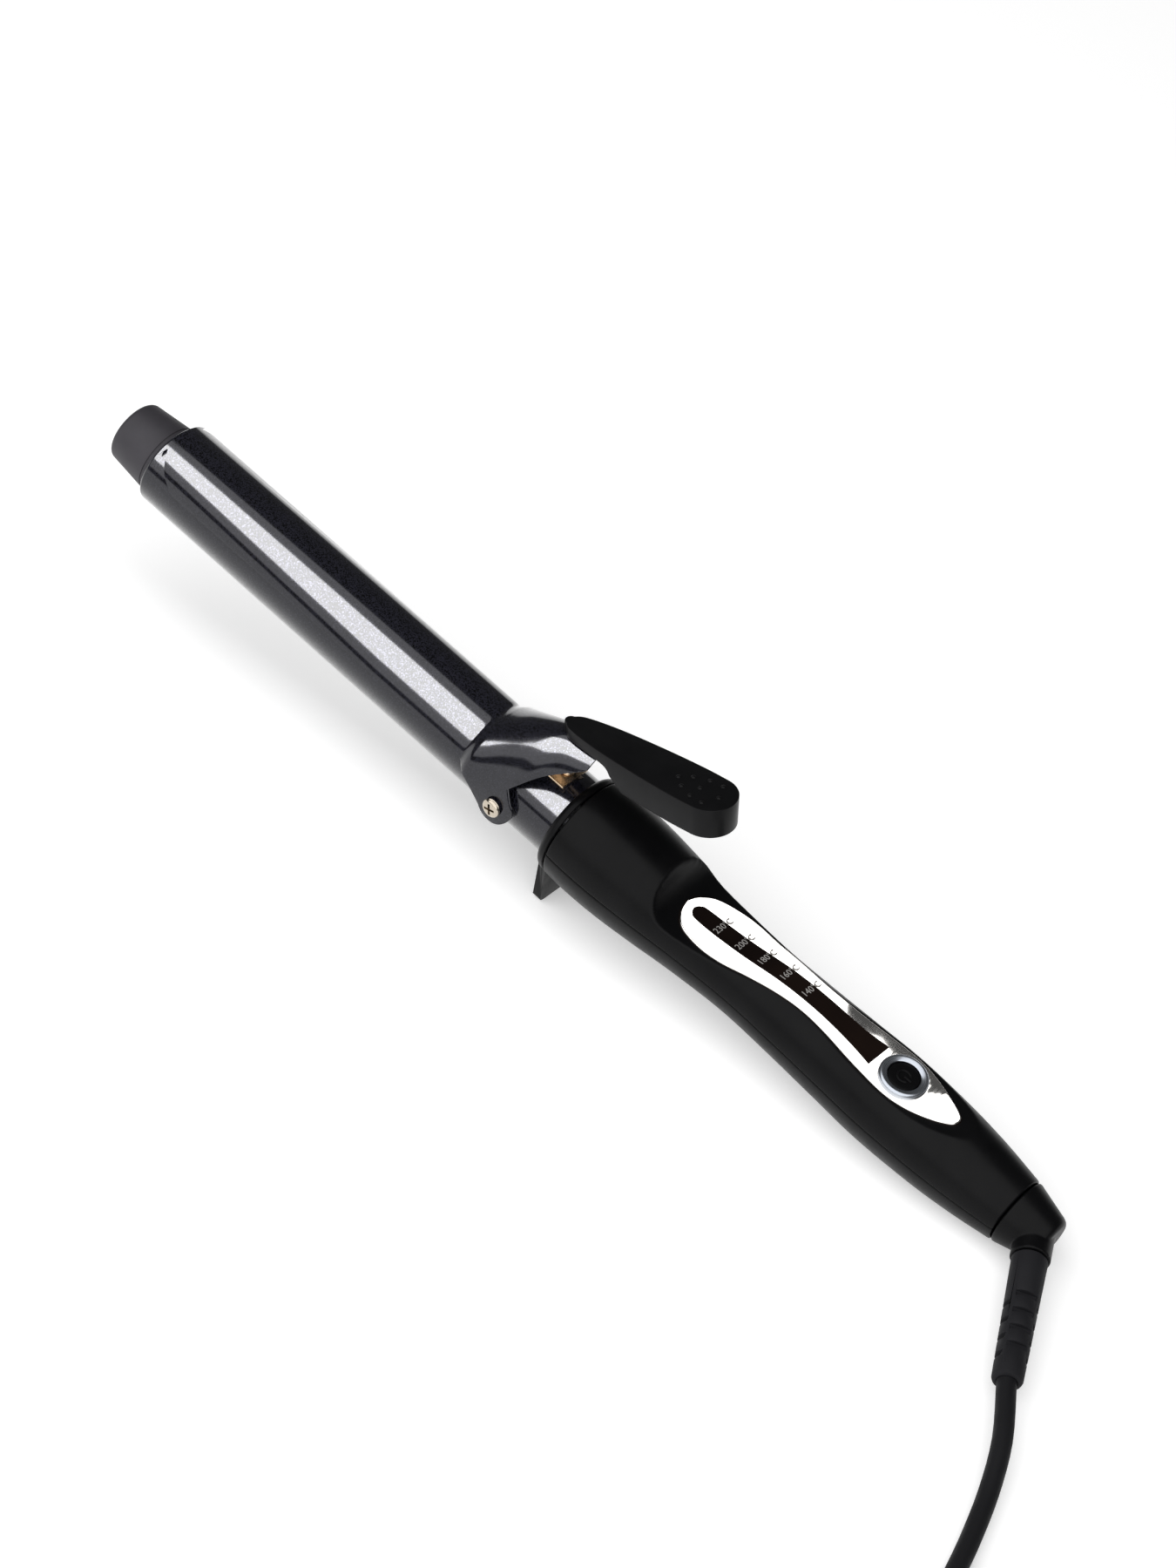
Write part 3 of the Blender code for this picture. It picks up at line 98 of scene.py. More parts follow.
CLIP_TIP_X = -175.0 * MM
CLIP_HALF_SPAN = math.radians(70)
JOGGLE_X = -35.2 * MM
PIVOT_X = -18.5 * MM
SADDLE_RADIUS = BARREL_RADIUS + 3.3 * MM
EAR_RADIUS = 6.2 * MM
PIVOT_HOLE_RADIUS = 1.6 * MM
TONGUE_REAR_X = 1.5 * MM
LEVER_FRONT = Vector((-15.2 * MM, 0, 33.6 * MM))
LEVER_SLOPE = math.radians(17.7)
LEVER_LENGTH = 63.7 * MM
LEVER_HALF_WIDTH = 8.6 * MM
LEVER_NOSE = 4.0 * MM
LEVER_DEPTH = 10.0 * MM
LEVER_SKIRT_U = 18.5 * MM
LEVER_WALL = 1.8 * MM
LEVER_TOP_WALL = 2.6 * MM
GRIP_FRONT_X = 26.0 * MM
GRIP_ROWS = {0.0: (0,), 3.4: (-2.8, 2.8), 8.2: (-4.7, 0, 4.7), 12.8: (-5, 5), 15.2: (0,)}
COLLAR_LENGTH = 3.2 * MM
COLLAR_RADIUS = 17.3 * MM
COLLAR_FRONT_RADIUS = BARREL_RADIUS + 1.2 * MM
FOOT_THICKNESS = 3.1 * MM
FOOT_CORNER = 2.5 * MM
HANDLE_FRONT_X = 3.8 * MM
HANDLE_REAR_X = 178.2 * MM
SHELL = 1.8 * MM
SCOOP_BLEND = 0.5 * MM
SEAM_DEPTH = 0.28 * MM
SEAM_SPAN = 1.6                 # degrees round the handle
HANDLE_SECTIONS = 230
HANDLE_STEPS = 118
HANDLE_RADII = [(3.8, 17.5), (12, 17.9), (24, 17.6), (38, 16.4), (54, 14.7), (74, 13.4), (94, 13.8),
                (112, 14.55), (129, 15.2), (149, 14.5), (164, 13.1), (178.2, 11.0)]
PANEL_HEIGHTS = [(32, 21), (36.8, 16.7), (40, 10.5), (45, 6.4), (54, 6.2), (68, 7.9), (84, 10.9), (98, 11.9),
                 (116, 11.3), (138, 11.3), (151, 12.8), (164, 15.5)]
TRIM_HALF_WIDTHS = [(44.5, 0.0), (46, 4.6), (50, 8.6), (58, 10.5), (66, 10.4), (76, 8.7), (92, 6.9),
                    (104, 7.2), (118, 8.7), (129, 9.4), (137, 8.2), (145, 5.2), (150, 2.2), (151, 0.0)]
TRIM_PROUD = 0.6 * MM
WINDOW_PROUD = TRIM_PROUD + 0.18 * MM
PANEL_CUT = 1.5 * MM            # how often the plates bend to follow the panel's face
WINDOW_HALF_WIDTHS = [(47.5, 0.0), (48.5, 2.0), (52, 3.1), (70, 3.3), (100, 3.4), (112, 3.9), (120, 5.0)]
LABELS = {"230": 58.0, "200": 66.4, "180": 74.8, "160": 83.2, "140": 91.6}
LABEL_SIZE = 3.1 * MM
LABEL_SIDE_OFFSET = 1.6 * MM
LABEL_HALF_THICKNESS = 0.04 * MM
BUTTON_X = 129.7 * MM
BUTTON_RADIUS = 5.0 * MM
BUTTON_FACE_Z = 12.4 * MM
SYMBOL_STROKE_RADIUS = 0.28 * MM
BEZEL_RADIUS = 7.8 * MM
BEZEL_FOOT_Z = 10.4 * MM
CAP_LENGTH = 14.0 * MM
CAP_FRONT_RADIUS = 10.9 * MM
CAP_REAR_RADIUS = 7.4 * MM
BOSS_X = 186.5 * MM
BOSS_DIRECTION = Vector((0.488, -0.873, 0)).normalized()
BOSS_RADIUS = 6.0 * MM
BOSS_LENGTH = 11.5 * MM
RELIEF_LENGTH = 44.0 * MM
RELIEF_RADIUS = 5.4 * MM
RELIEF_END_RADIUS = 4.6 * MM
CORD_RADIUS = 3.0 * MM
CORD_ROUTE = [(10.9, -16.0, 6.4), (18.7, -32.0, 4.3), (25.1, -49.5, 3.2), (30.6, -67.0, 3.4),
              (38.0, -84.5, 4.2)]
COIL_CENTRE = (89.6, -85.8, 0)
COIL_MEAN_RADIUS = 39.4 * MM
COIL_LAYERS = 3
COIL_LIFT = 1.2 * MM
TAIL_ROUTE = [(127.2, -50.7, 4.2), (124.7, -40.7, 5.0), (122.1, -30.7, 6.2), (119.5, -21.0, 7.0)]
CORD_START_DEPTH = 4.0 * MM
COIL_ENTRY = 205                # degrees round the coil, from +X towards +Y
COIL_EXIT = 375 + 6 * 360
COIL_POINT_ANGLE = 7.5
COIL_STEP_SPAN = 90
# Where the cord steps inward by a column or up by a layer: (angle, columns, layers)
COIL_STEPS = [(247, 1, 0), (587, 1, 0), (902, 0, 1), (1217, -1, 0), (1532, 0, 1), (1847, -1, 0),
              (2162, 0, -1), (2497, 0, -1)]
TIE_ANGLE = math.radians(100)
TIE_WIDTH = 6.0 * MM
TIE_THICKNESS = 0.8 * MM
PLUG_LENGTH = 36.0 * MM
PLUG_HEIGHT = 13.0 * MM
PLUG_WIDTH = 27.0 * MM
PLUG_NECK_LENGTH = 14.0 * MM


# ---------------------------------------------------------------- mesh tools

def smooth(points, steps):
    """Points read from a Catmull-Rom curve through the given points."""
    ends = [points[0]] + list(points) + [points[-1]]
    result = []
    for before, start, end, after in zip(ends, ends[1:], ends[2:], ends[3:]):
        for step in range(steps):
            t = step / steps
            result.append(tuple(0.5 * (2 * b + (c - a) * t + (2 * a - 5 * b + 4 * c - d) * t * t
                                       + (3 * b - a - 3 * c + d) * t ** 3)
                                for a, b, c, d in zip(before, start, end, after)))
    result.append(tuple(points[-1]))
    return result


def in_metres(points):
    """Points given in millimetres, in metres."""
    return [tuple(value * MM for value in point) for point in points]


def height_at(points, x):
    """The second value at x on a line of (x, value) points; its end values beyond its ends."""
    for (x0, z0), (x1, z1) in zip(points, points[1:]):
        if x0 <= x <= x1:
            return z0 + (z1 - z0) * (x - x0) / (x1 - x0)
    return points[-1][1] if x > points[-1][0] else points[0][1]


HANDLE_LINE = smooth(in_metres(HANDLE_RADII), 12)
PANEL_LINE = smooth(in_metres(PANEL_HEIGHTS), 12)


def arc(centre, radius, start, end, steps=12):
    """Points on a circle from one angle to another, in degrees."""
    angles = [math.radians(start + (end - start) * i / steps) for i in range(steps + 1)]
    return [(centre[0] + radius * math.cos(a), centre[1] + radius * math.sin(a)) for a in angles]


def mesh_of(bm):
    """A bmesh as a plain mesh; the bmesh is freed."""
    mesh = bpy.data.meshes.new("piece")
    bm.to_mesh(mesh)
    bm.free()
    return mesh


def tidy(mesh, weld=1e-6):
    """The mesh without doubled points and flat faces, with its normals outwards."""
    bm = bmesh.new()
    bm.from_mesh(mesh)
    bmesh.ops.remove_doubles(bm, verts=bm.verts, dist=weld)
    bmesh.ops.dissolve_degenerate(bm, edges=bm.edges, dist=1e-7)
    bmesh.ops.recalc_face_normals(bm, faces=bm.faces)
    bm.to_mesh(mesh)
    bm.free()
    return mesh


def temporary(data):
    """An object of some data, for a modifier or a conversion."""
    obj = bpy.data.objects.new("temporary", data)
    bpy.context.scene.collection.objects.link(obj)
    return obj


def baked(obj):
    """The evaluated object as a plain mesh in world space; the object is removed."""
    bpy.context.view_layer.update()
    evaluated = obj.evaluated_get(bpy.context.evaluated_depsgraph_get())
    mesh = bpy.data.meshes.new_from_object(evaluated)
    mesh.transform(obj.matrix_world)
    bpy.data.objects.remove(obj)
    return tidy(mesh)


def facing(direction):
    """The turn that brings Z to a direction."""
    return direction.to_track_quat("Z", "Y").to_matrix().to_4x4()


def turned(profile, axis=X_AXIS, at=(0, 0, 0), steps=128):
    """A profile of (along, radius) pairs turned about an axis that passes through a point."""
    on_axis = profile[0][1] == 0 and profile[-1][1] == 0
    bm = bmesh.new()
    verts = [bm.verts.new((radius, 0, along)) for along, radius in profile]
    for first, second in zip(verts, verts[1:]):
        bm.edges.new((first, second))
    if not on_axis:
        bm.edges.new((verts[-1], verts[0]))
    obj = temporary(mesh_of(bm))
    screw = obj.modifiers.new("Turn", "SCREW")
    screw.steps = screw.render_steps = steps
    screw.use_merge_vertices = True
    screw.merge_threshold = 1e-5
    obj.matrix_world = Matrix.Translation(at) @ facing(Vector(axis))
    return baked(obj)


def rod(radius, start, end, steps=48):
    """A round bar between two points."""
    start, end = Vector(start), Vector(end)
    bm = bmesh.new()
    place = Matrix.Translation((start + end) / 2) @ facing((end - start).normalized())
    bmesh.ops.create_cone(bm, cap_ends=True, segments=steps, radius1=radius, radius2=radius,
                          depth=(end - start).length, matrix=place)
    return mesh_of(bm)


def box(low, high, turn=Matrix()):
    """A box between two corners, turned about the origin."""
    low, high = Vector(low), Vector(high)
    bm = bmesh.new()
    place = turn @ Matrix.Translation((low + high) / 2) @ Matrix.Diagonal((*(high - low), 1))
    bmesh.ops.create_cube(bm, size=1, matrix=place)
    return mesh_of(bm)


PLANES = {
    "XZ": Matrix(((1, 0, 0, 0), (0, 0, 1, 0), (0, 1, 0, 0), (0, 0, 0, 1))),
    "XY": Matrix(((1, 0, 0, 0), (0, 1, 0, 0), (0, 0, 1, 0), (0, 0, 0, 1))),
    "YZ": Matrix(((0, 0, 1, 0), (1, 0, 0, 0), (0, 1, 0, 0), (0, 0, 0, 1))),
}


def extruded(outline, low, high, plane="XZ"):
    """A flat outline in one plane as a prism from low to high, with one face at each end."""
    bm = bmesh.new()
    face = bm.faces.new([bm.verts.new((a, b, low)) for a, b in outline])
    grown = bmesh.ops.extrude_face_region(bm, geom=[face])["geom"]
    raised = [part for part in grown if isinstance(part, bmesh.types.BMVert)]
    bmesh.ops.translate(bm, vec=(0, 0, high - low), verts=raised)
    bmesh.ops.transform(bm, matrix=PLANES[plane], verts=bm.verts)
    return tidy(mesh_of(bm))


def grid(rows):
    """A sheet of four-sided faces through rows of points."""
    bm = bmesh.new()
    made = [[bm.verts.new(point) for point in row] for row in rows]
    for first, second in zip(made, made[1:]):
        for corners in zip(first, first[1:], second[1:], second):
            bm.faces.new(corners)
    return mesh_of(bm)


def ring_stack(rings):
    """A bmesh of rings of points joined into one closed solid with flat ends."""
    bm = bmesh.new()
    made = [[bm.verts.new(point) for point in ring] for ring in rings]
    for first, second in zip(made, made[1:]):
        for corners in zip(first, first[1:] + first[:1], second[1:] + second[:1], second):
            bm.faces.new(corners)
    bm.faces.new(made[0][::-1])
    bm.faces.new(made[-1])
    return bm


def combined(mesh, operation, *tools):
    """A mesh after Boolean operations with closed tool meshes."""
    obj = temporary(mesh)
    helpers = []
    for tool_mesh in tools:
        tool = temporary(tool_mesh)
        modifier = obj.modifiers.new("Boolean", "BOOLEAN")
        modifier.operation = operation
        modifier.object = tool
        helpers.append(tool)
    result = baked(obj)
    for tool in helpers:
        bpy.data.objects.remove(tool)
    return result


def bevelled(mesh, width, segments=3, angle=40):
    """The mesh with its edges rounded wherever they turn by more than an angle."""
    obj = temporary(mesh)
    bevel = obj.modifiers.new("Bevel", "BEVEL")
    bevel.width = width
    bevel.segments = segments
    bevel.limit_method = "ANGLE"
    bevel.angle_limit = math.radians(angle)
    return baked(obj)


def thickened(mesh, thickness, offset=0.0):
    """A sheet with a thickness, on both sides of it or, with an offset of -1, inside it."""
    obj = temporary(mesh)
    solid = obj.modifiers.new("Sheet", "SOLIDIFY")
    solid.thickness = thickness
    solid.offset = offset
    solid.use_even_offset = True
    return baked(obj)


def join_meshes(meshes):
    """Several meshes as one."""
    bm = bmesh.new()
    for mesh in meshes:
        bm.from_mesh(mesh)
    return mesh_of(bm)


def tube(points, radius, resolution):
    """A round tube along a line of points."""
    curve = bpy.data.curves.new("tube", "CURVE")
    curve.dimensions = "3D"
    curve.bevel_depth = radius
    curve.bevel_resolution = resolution
    curve.use_fill_caps = True
    spline = curve.splines.new("POLY")
    spline.points.add(len(points) - 1)
    for point, at in zip(spline.points, points):
        point.co = (*at, 1)
    return baked(temporary(curve))


def offset_line(points, distance):
    """A flat line moved sideways by a distance."""
    result = []
    for index, point in enumerate(points):
        before = points[max(index - 1, 0)]
        after = points[min(index + 1, len(points) - 1)]
        along = Vector((after[0] - before[0], after[1] - before[1])).normalized()
        result.append((point[0] - along.y * distance, point[1] + along.x * distance))
    return result


def show(name, mesh, material, body, replaces=(), place=None, sharp=35):
    """Adds a piece in the iron's frame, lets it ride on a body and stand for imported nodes."""
    mesh.transform(IRON if place is None else place)
    mesh.name = name
    mesh.materials.clear()
    mesh.materials.append(material)
    mesh.shade_smooth()
    mesh.set_sharp_from_angle(angle=math.radians(sharp))
    obj = bpy.data.objects.new(name, mesh)
    bpy.context.scene.collection.objects.link(obj)
    if body:
        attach(obj, body)
    if replaces:
        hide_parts(*replaces)
    return obj


# ---------------------------------------------------------------- materials

class Nodes:
    """A material's node tree, with short ways to add and link nodes."""

    def __init__(self, name, colour, roughness, metallic=0.0):
        self.material = bpy.data.materials.new(name)
        self.material.use_nodes = True
        self.tree = self.material.node_tree
        self.shader = self.tree.nodes["Principled BSDF"]
        self.set("Base Color", (*colour, 1))
        self.set("Roughness", roughness)
        self.set("Metallic", metallic)
        self.coords = self.add("ShaderNodeTexCoord").outputs["Object"]

    def set(self, socket, value):
        self.shader.inputs[socket].default_value = value

    def add(self, kind, **settings):
        node = self.tree.nodes.new(kind)
        for key, value in settings.items():
            setattr(node, key, value)
        return node

    def link(self, start, end):
        self.tree.links.new(start, end)

    def drive(self, socket, source):
        self.link(source, self.shader.inputs[socket])

    def noise(self, scale, detail=4.0):
        node = self.add("ShaderNodeTexNoise")
        node.inputs["Scale"].default_value = scale
        node.inputs["Detail"].default_value = detail
        self.link(self.coords, node.inputs["Vector"])
        return node.outputs["Fac"]

    def between(self, factor, low, high, stops=(0.3, 0.7)):
        """A colour, or a grey for one number, that runs from low to high between two stops."""
        ramp = self.add("ShaderNodeValToRGB")
        for stop, at, value in zip(ramp.color_ramp.elements, stops, (low, high)):
            stop.position = at
            stop.color = (*value, 1) if isinstance(value, tuple) else (value, value, value, 1)
        self.link(factor, ramp.inputs["Fac"])
        return ramp.outputs["Color"]

    def bump(self, height, strength, distance):
        node = self.add("ShaderNodeBump")
        node.inputs["Strength"].default_value = strength
        node.inputs["Distance"].default_value = distance
        self.link(height, node.inputs["Height"])
        self.drive("Normal", node.outputs["Normal"])


def moulded(name, colour, roughness, grain=2600.0, strength=0.12, depth=0.05 * MM, gloss=0.5):
    """Moulded plastic: fine spark-eroded grain, faint cloudiness in colour and gloss."""
    made = Nodes(name, colour, roughness)
    made.set("Specular IOR Level", gloss)
    cloud = made.noise(60.0, 3.0)
    lighter = tuple(c * 1.25 + 0.001 for c in colour)
    made.drive("Base Color", made.between(cloud, colour, lighter, (0.35, 0.7)))
    made.drive("Roughness", made.between(made.noise(220.0), roughness - 0.04, roughness + 0.05))
    made.bump(made.noise(grain, 2.0), strength, depth)
    return made.material


def flaked_black():
    """Gloss black coating with fine metallic flakes that light up round a reflection."""
    black, silver, share = (0.002, 0.002, 0.003), (0.030, 0.030, 0.038), 0.55
    made = Nodes("flaked_black", black, 0.13)
    made.set("Coat Weight", 1.0)
    made.set("Coat Roughness", 0.11)
    made.set("Coat IOR", 1.40)
    made.set("Specular IOR Level", 0.1)
    flakes = made.add("ShaderNodeTexVoronoi")
    flakes.inputs["Scale"].default_value = 3600.0
    made.link(made.coords, flakes.inputs["Vector"])
    split = made.add("ShaderNodeSeparateColor")
    made.link(flakes.outputs["Color"], split.inputs["Color"])
    made.drive("Base Color", made.between(split.outputs["Red"], black, silver, (share, 1.0)))
    made.drive("Metallic", made.between(split.outputs["Red"], 0.0, 1.0, (share, share + 0.05)))
    return made.material


def metal(name, colour, roughness, scratch=0.04):
    """Plated metal with hair scratches and uneven gloss."""
    made = Nodes(name, colour, roughness, 1.0)
    dull, gloss = roughness * 1.4 + 0.01, roughness * 0.7
    made.drive("Roughness", made.between(made.noise(500.0), gloss, dull, (0.35, 0.7)))
    made.bump(made.noise(1400.0, 2.0), scratch, 0.01 * MM)
    return made.material


def chrome_plate():
    """Mirror chrome with a slow waviness."""
    made = Nodes("chrome_plate", (0.88, 0.86, 0.83), 0.05, 1.0)
    made.drive("Roughness", made.between(made.noise(300.0), 0.035, 0.07))
    made.bump(made.noise(55.0, 1.0), 0.10, 0.10 * MM)
    return made.material


def turned_metal(centre, axis):
    """Metal with concentric turning marks round an axis."""
    made = Nodes("turned_metal", (0.46, 0.49, 0.54), 0.28, 1.0)
    mapping = made.add("ShaderNodeMapping", vector_type="TEXTURE")
    mapping.inputs["Location"].default_value = centre
    mapping.inputs["Rotation"].default_value = axis.to_track_quat("Z", "Y").to_euler()
    made.link(made.coords, mapping.inputs["Vector"])
    flat = made.add("ShaderNodeVectorMath", operation="MULTIPLY")
    flat.inputs[1].default_value = (1, 1, 0)
    made.link(mapping.outputs["Vector"], flat.inputs[0])
    length = made.add("ShaderNodeVectorMath", operation="LENGTH")
    made.link(flat.outputs["Vector"], length.inputs[0])
    rings = made.add("ShaderNodeTexNoise", noise_dimensions="1D")
    rings.inputs["Scale"].default_value = 9000.0
    rings.inputs["Detail"].default_value = 2.0
    made.link(length.outputs["Value"], rings.inputs["W"])
    made.drive("Roughness", made.between(rings.outputs["Fac"], 0.18, 0.38))
    made.bump(rings.outputs["Fac"], 0.25, 0.02 * MM)
    return made.material


def window_gloss():
    """Dark brown smoked window."""
    dark, light = (0.0045, 0.0028, 0.0024), (0.011, 0.0065, 0.0050)
    made = Nodes("window_gloss", dark, 0.08)
    made.set("Specular IOR Level", 0.10)
    made.drive("Base Color", made.between(made.noise(40.0, 2.0), dark, light))
    made.bump(made.noise(90.0, 1.0), 0.04, 0.05 * MM)
    return made.material


def rubber(name, colour):
    """Dull moulded rubber with a fine uneven skin."""
    made = Nodes(name, colour, 0.55)
    made.set("Specular IOR Level", 0.12)
    made.drive("Roughness", made.between(made.noise(180.0), 0.52, 0.72))
    made.drive("Base Color", made.between(made.noise(35.0, 3.0), colour, tuple(c * 1.35 for c in colour)))
    made.bump(made.noise(1500.0, 3.0), 0.18, 0.06 * MM)
    return made.material


BUTTON_AXIS = IRON.to_3x3() @ Z_AXIS
BARREL_BLACK = flaked_black()
TIP_GREY = moulded("tip_grey", (0.034, 0.032, 0.037), 0.50, 2200.0, 0.16, gloss=0.25)
SOFT_BLACK = moulded("soft_black_plastic", (0.0022, 0.0022, 0.0025), 0.36, gloss=0.10)
LEVER_BLACK = moulded("lever_plastic", (0.0040, 0.0040, 0.0044), 0.32, 2000.0, 0.12, gloss=0.11)
CHROME = chrome_plate()
BEZEL_METAL = turned_metal(IRON @ Vector((BUTTON_X, 0, 0)), BUTTON_AXIS)
NICKEL = metal("nickel_plate", (0.52, 0.46, 0.38), 0.18)
BRASS = metal("brass_plate", (0.62, 0.47, 0.32), 0.22)
WINDOW = window_gloss()
PRINT = moulded("label_print", (0.26, 0.25, 0.24), 0.55, 3000.0, 0.05, gloss=0.2)
RUBBER = rubber("relief_rubber", (0.0100, 0.0100, 0.0115))
CORD_RUBBER = rubber("cord_rubber", (0.0070, 0.0070, 0.0080))
ALUMINIUM = metal("aluminium_extrusion", (0.66, 0.66, 0.67), 0.35, 0.12)
CERAMIC = moulded("ceramic_body", (0.72, 0.70, 0.66), 0.55, 1500.0, 0.10)
SOLDER_MASK = moulded("solder_mask", (0.020, 0.120, 0.050), 0.35, 900.0, 0.08)
COPPER = metal("copper_metal", (0.74, 0.42, 0.28), 0.28)
SLOT_MATERIALS = {"gloss_black": BARREL_BLACK, "matte_grey": TIP_GREY, "soft_black": SOFT_BLACK,
                  "chrome": CHROME, "brushed": BEZEL_METAL, "nickel": NICKEL, "brass": BRASS,
                  "dark_window": WINDOW, "rubber": RUBBER, "aluminium": ALUMINIUM, "ceramic": CERAMIC,
                  "board_green": SOLDER_MASK, "copper": COPPER}


def finish_packed_nodes():
    """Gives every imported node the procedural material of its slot."""
    slots = {part["node"]: part["material_slot"] for part in frame["record"]["subparts"]}
    for name, obj in frame["nodes"].items():
        material = SLOT_MATERIALS[slots[name]]
        for index in range(max(len(obj.material_slots), 1)):
            if index < len(obj.material_slots):
                obj.material_slots[index].material = material
            else:
                obj.data.materials.append(material)


# ---------------------------------------------------------------- camera, floor and light

SURROUNDINGS = 0.08
FLOOR_GLOW = 0.32
FLOOR_REACH = 8.0
FLOOR_DROP = 0.2 * MM
STRIP_LENGTH = 4.4
# Softboxes: (name, degrees round the barrel from the view's direction, distance, width, watts)
KEY = ("key_softbox", -4, 1.5, 3.2, 75)
CORE = ("core_softbox", -5, 1.4, 1.3, 300)
CARD_TARGET = Vector((100 * MM, 0, 12 * MM))
CARD_PLACE = Vector((-90 * MM, 307.5 * MM, 380 * MM))
CARD_SIZE = (0.25, 0.36)
CARD_POWER = 0.7
LENS = 100                      # millimetres, as is the sensor's width
SENSOR_WIDTH = 36
CAMERA_RIGHT = Vector((0.717, 0.6476, 0.2573))
CAMERA_UP = Vector((-0.6323, 0.4502, 0.6304))
CAMERA_DISTANCE = 1.316
LOOK_AT = Vector((-4.12 * MM, 0, 0))
CAMERA_SHIFT_RIGHT = 7.16 * MM
CAMERA_SHIFT_UP = 8.21 * MM


def camera():
    """The camera, placed in the iron's frame."""
    right = CAMERA_RIGHT.normalized()
    back = right.cross(CAMERA_UP).normalized()
    up = back.cross(right)
    place = LOOK_AT + back * CAMERA_DISTANCE + right * CAMERA_SHIFT_RIGHT + up * CAMERA_SHIFT_UP
    turn = Matrix((right, up, back)).transposed().to_4x4()
    data = bpy.data.cameras.new("camera")
    data.lens = LENS
    data.sensor_width = SENSOR_WIDTH
    obj = bpy.data.objects.new("camera", data)
    bpy.context.scene.collection.objects.link(obj)
    obj.matrix_world = IRON @ Matrix.Translation(place) @ turn
    bpy.context.scene.camera = obj
    return obj


def area_light(name, place, size, power):
    """A rectangular light that shines along its own -Z."""
    data = bpy.data.lights.new(name, "AREA")
    data.shape = "RECTANGLE"
    data.size, data.size_y = size
    data.energy = power
    obj = bpy.data.objects.new(name, data)
    bpy.context.scene.collection.objects.link(obj)
    obj.matrix_world = place
    obj.visible_camera = False
    return obj


def studio():
    """Grey surroundings and a pale floor."""
    scene = bpy.context.scene
    scene.view_settings.view_transform = "Standard"
    world = bpy.data.worlds.new("studio")
    scene.world = world
    world.use_nodes = True
    surroundings = world.node_tree.nodes["Background"]
    surroundings.inputs["Color"].default_value = (1, 1, 1, 1)
    surroundings.inputs["Strength"].default_value = SURROUNDINGS
    paper = Nodes("floor_card", (0.90, 0.90, 0.90), 0.85)
    paper.set("Emission Color", (1, 1, 1, 1))
    paper.set("Emission Strength", FLOOR_GLOW)
    paper.drive("Base Color", paper.between(paper.noise(3.0), 0.89, 0.92, (0.0, 1.0)))
    bm = bmesh.new()
    bmesh.ops.create_grid(bm, x_segments=1, y_segments=1, size=FLOOR_REACH)
    mesh = mesh_of(bm)
    mesh.materials.append(paper.material)
    floor = bpy.data.objects.new("floor", mesh)
    floor.location.z = -FLOOR_DROP
    scene.collection.objects.link(floor)


def strip(cam, name, angle, distance, width, power):
    """A long softbox beside the barrel, at an angle round the barrel's axis from the view's direction."""
    back = (cam.matrix_world.to_3x3() @ Z_AXIS).normalized()
    barrel = (IRON.to_3x3() @ X_AXIS).normalized()
    back = (back - barrel * back.dot(barrel)).normalized()
    across = barrel.cross(back)
    turn = math.radians(angle)
    toward = back * math.cos(turn) + across * math.sin(turn)
    axes = Matrix((barrel, toward.cross(barrel), toward)).transposed().to_4x4()
    place = Matrix.Translation(LOOK_AT + toward * distance) @ axes
    return area_light(name, place, (STRIP_LENGTH, width), power)


def wearing(material):
    """A collection of the pieces with one material, for a light that falls on nothing else."""
    pieces = bpy.data.collections.new(material.name)
    for obj in bpy.data.objects:
        if obj.type == "MESH" and material.name in obj.data.materials:
            pieces.objects.link(obj)
    return pieces


def softboxes(cam):
    """A wide softbox for everything, a narrow one for the barrel's bright band and a card for the chrome."""
    strip(cam, *KEY)
    core = strip(cam, *CORE)
    core.light_linking.receiver_collection = wearing(BARREL_BLACK)
    card_place = IRON @ CARD_PLACE
    card = Matrix.Translation(card_place) @ facing(card_place - IRON @ CARD_TARGET)
    card_light = area_light("panel_card", card, CARD_SIZE, CARD_POWER)
    card_light.light_linking.receiver_collection = wearing(CHROME)


# ---------------------------------------------------------------- barrel and clip

def barrel_pieces():
    """The barrel with its rolled rim, and the moulded tip with a fine groove round it."""
    rim = 1.0 * MM
    front = [(BARREL_FRONT_X + rim + z, BARREL_RADIUS - rim + r) for z, r in arc((0, 0), rim, 90, 180, 8)]
    profile = [(BARREL_REAR_X, BARREL_RADIUS)] + front + [(BARREL_FRONT_X + 0.3 * MM, BARREL_BORE),
                                                          (BARREL_REAR_X, BARREL_BORE)]
    show("barrel_surface", turned(profile, steps=160), BARREL_BLACK, "root", ["barrel_tube"])
    joint = BARREL_FRONT_X
    slope = (TIP_REAR_RADIUS - TIP_FRONT_RADIUS) / (joint - TIP_FRONT_X)
    edge = 1.8 * MM
    nose = [(TIP_FRONT_X + edge + z, TIP_FRONT_RADIUS - edge + r) for z, r in arc((0, 0), edge, 180, 90, 10)]
    groove = joint - 2.0 * MM
    body = []
    for x, depth in ((0, 0), (0.08, 0.25), (0.25, 0.35), (0.42, 0.25), (0.5, 0)):
        at = groove + x * MM
        body.append((at, TIP_FRONT_RADIUS + slope * (at - TIP_FRONT_X) - depth * MM))
    dimple = [(TIP_FRONT_X + 0.5 * MM, 0), (TIP_FRONT_X + 0.5 * MM, 6.5 * MM), (TIP_FRONT_X, 7.1 * MM)]
    back, plug_end, plug_radius = joint - 0.2 * MM, joint + 9 * MM, BARREL_BORE - GAP
    spigot = [(joint - 0.5 * MM, TIP_REAR_RADIUS), (back, TIP_REAR_RADIUS - 0.2 * MM), (back, plug_radius),
              (plug_end, plug_radius), (plug_end, 0)]
    tip = turned(dimple + nose + body + spigot)
    show("cool_tip_surface", tip, TIP_GREY, "root", ["cool_tip"])


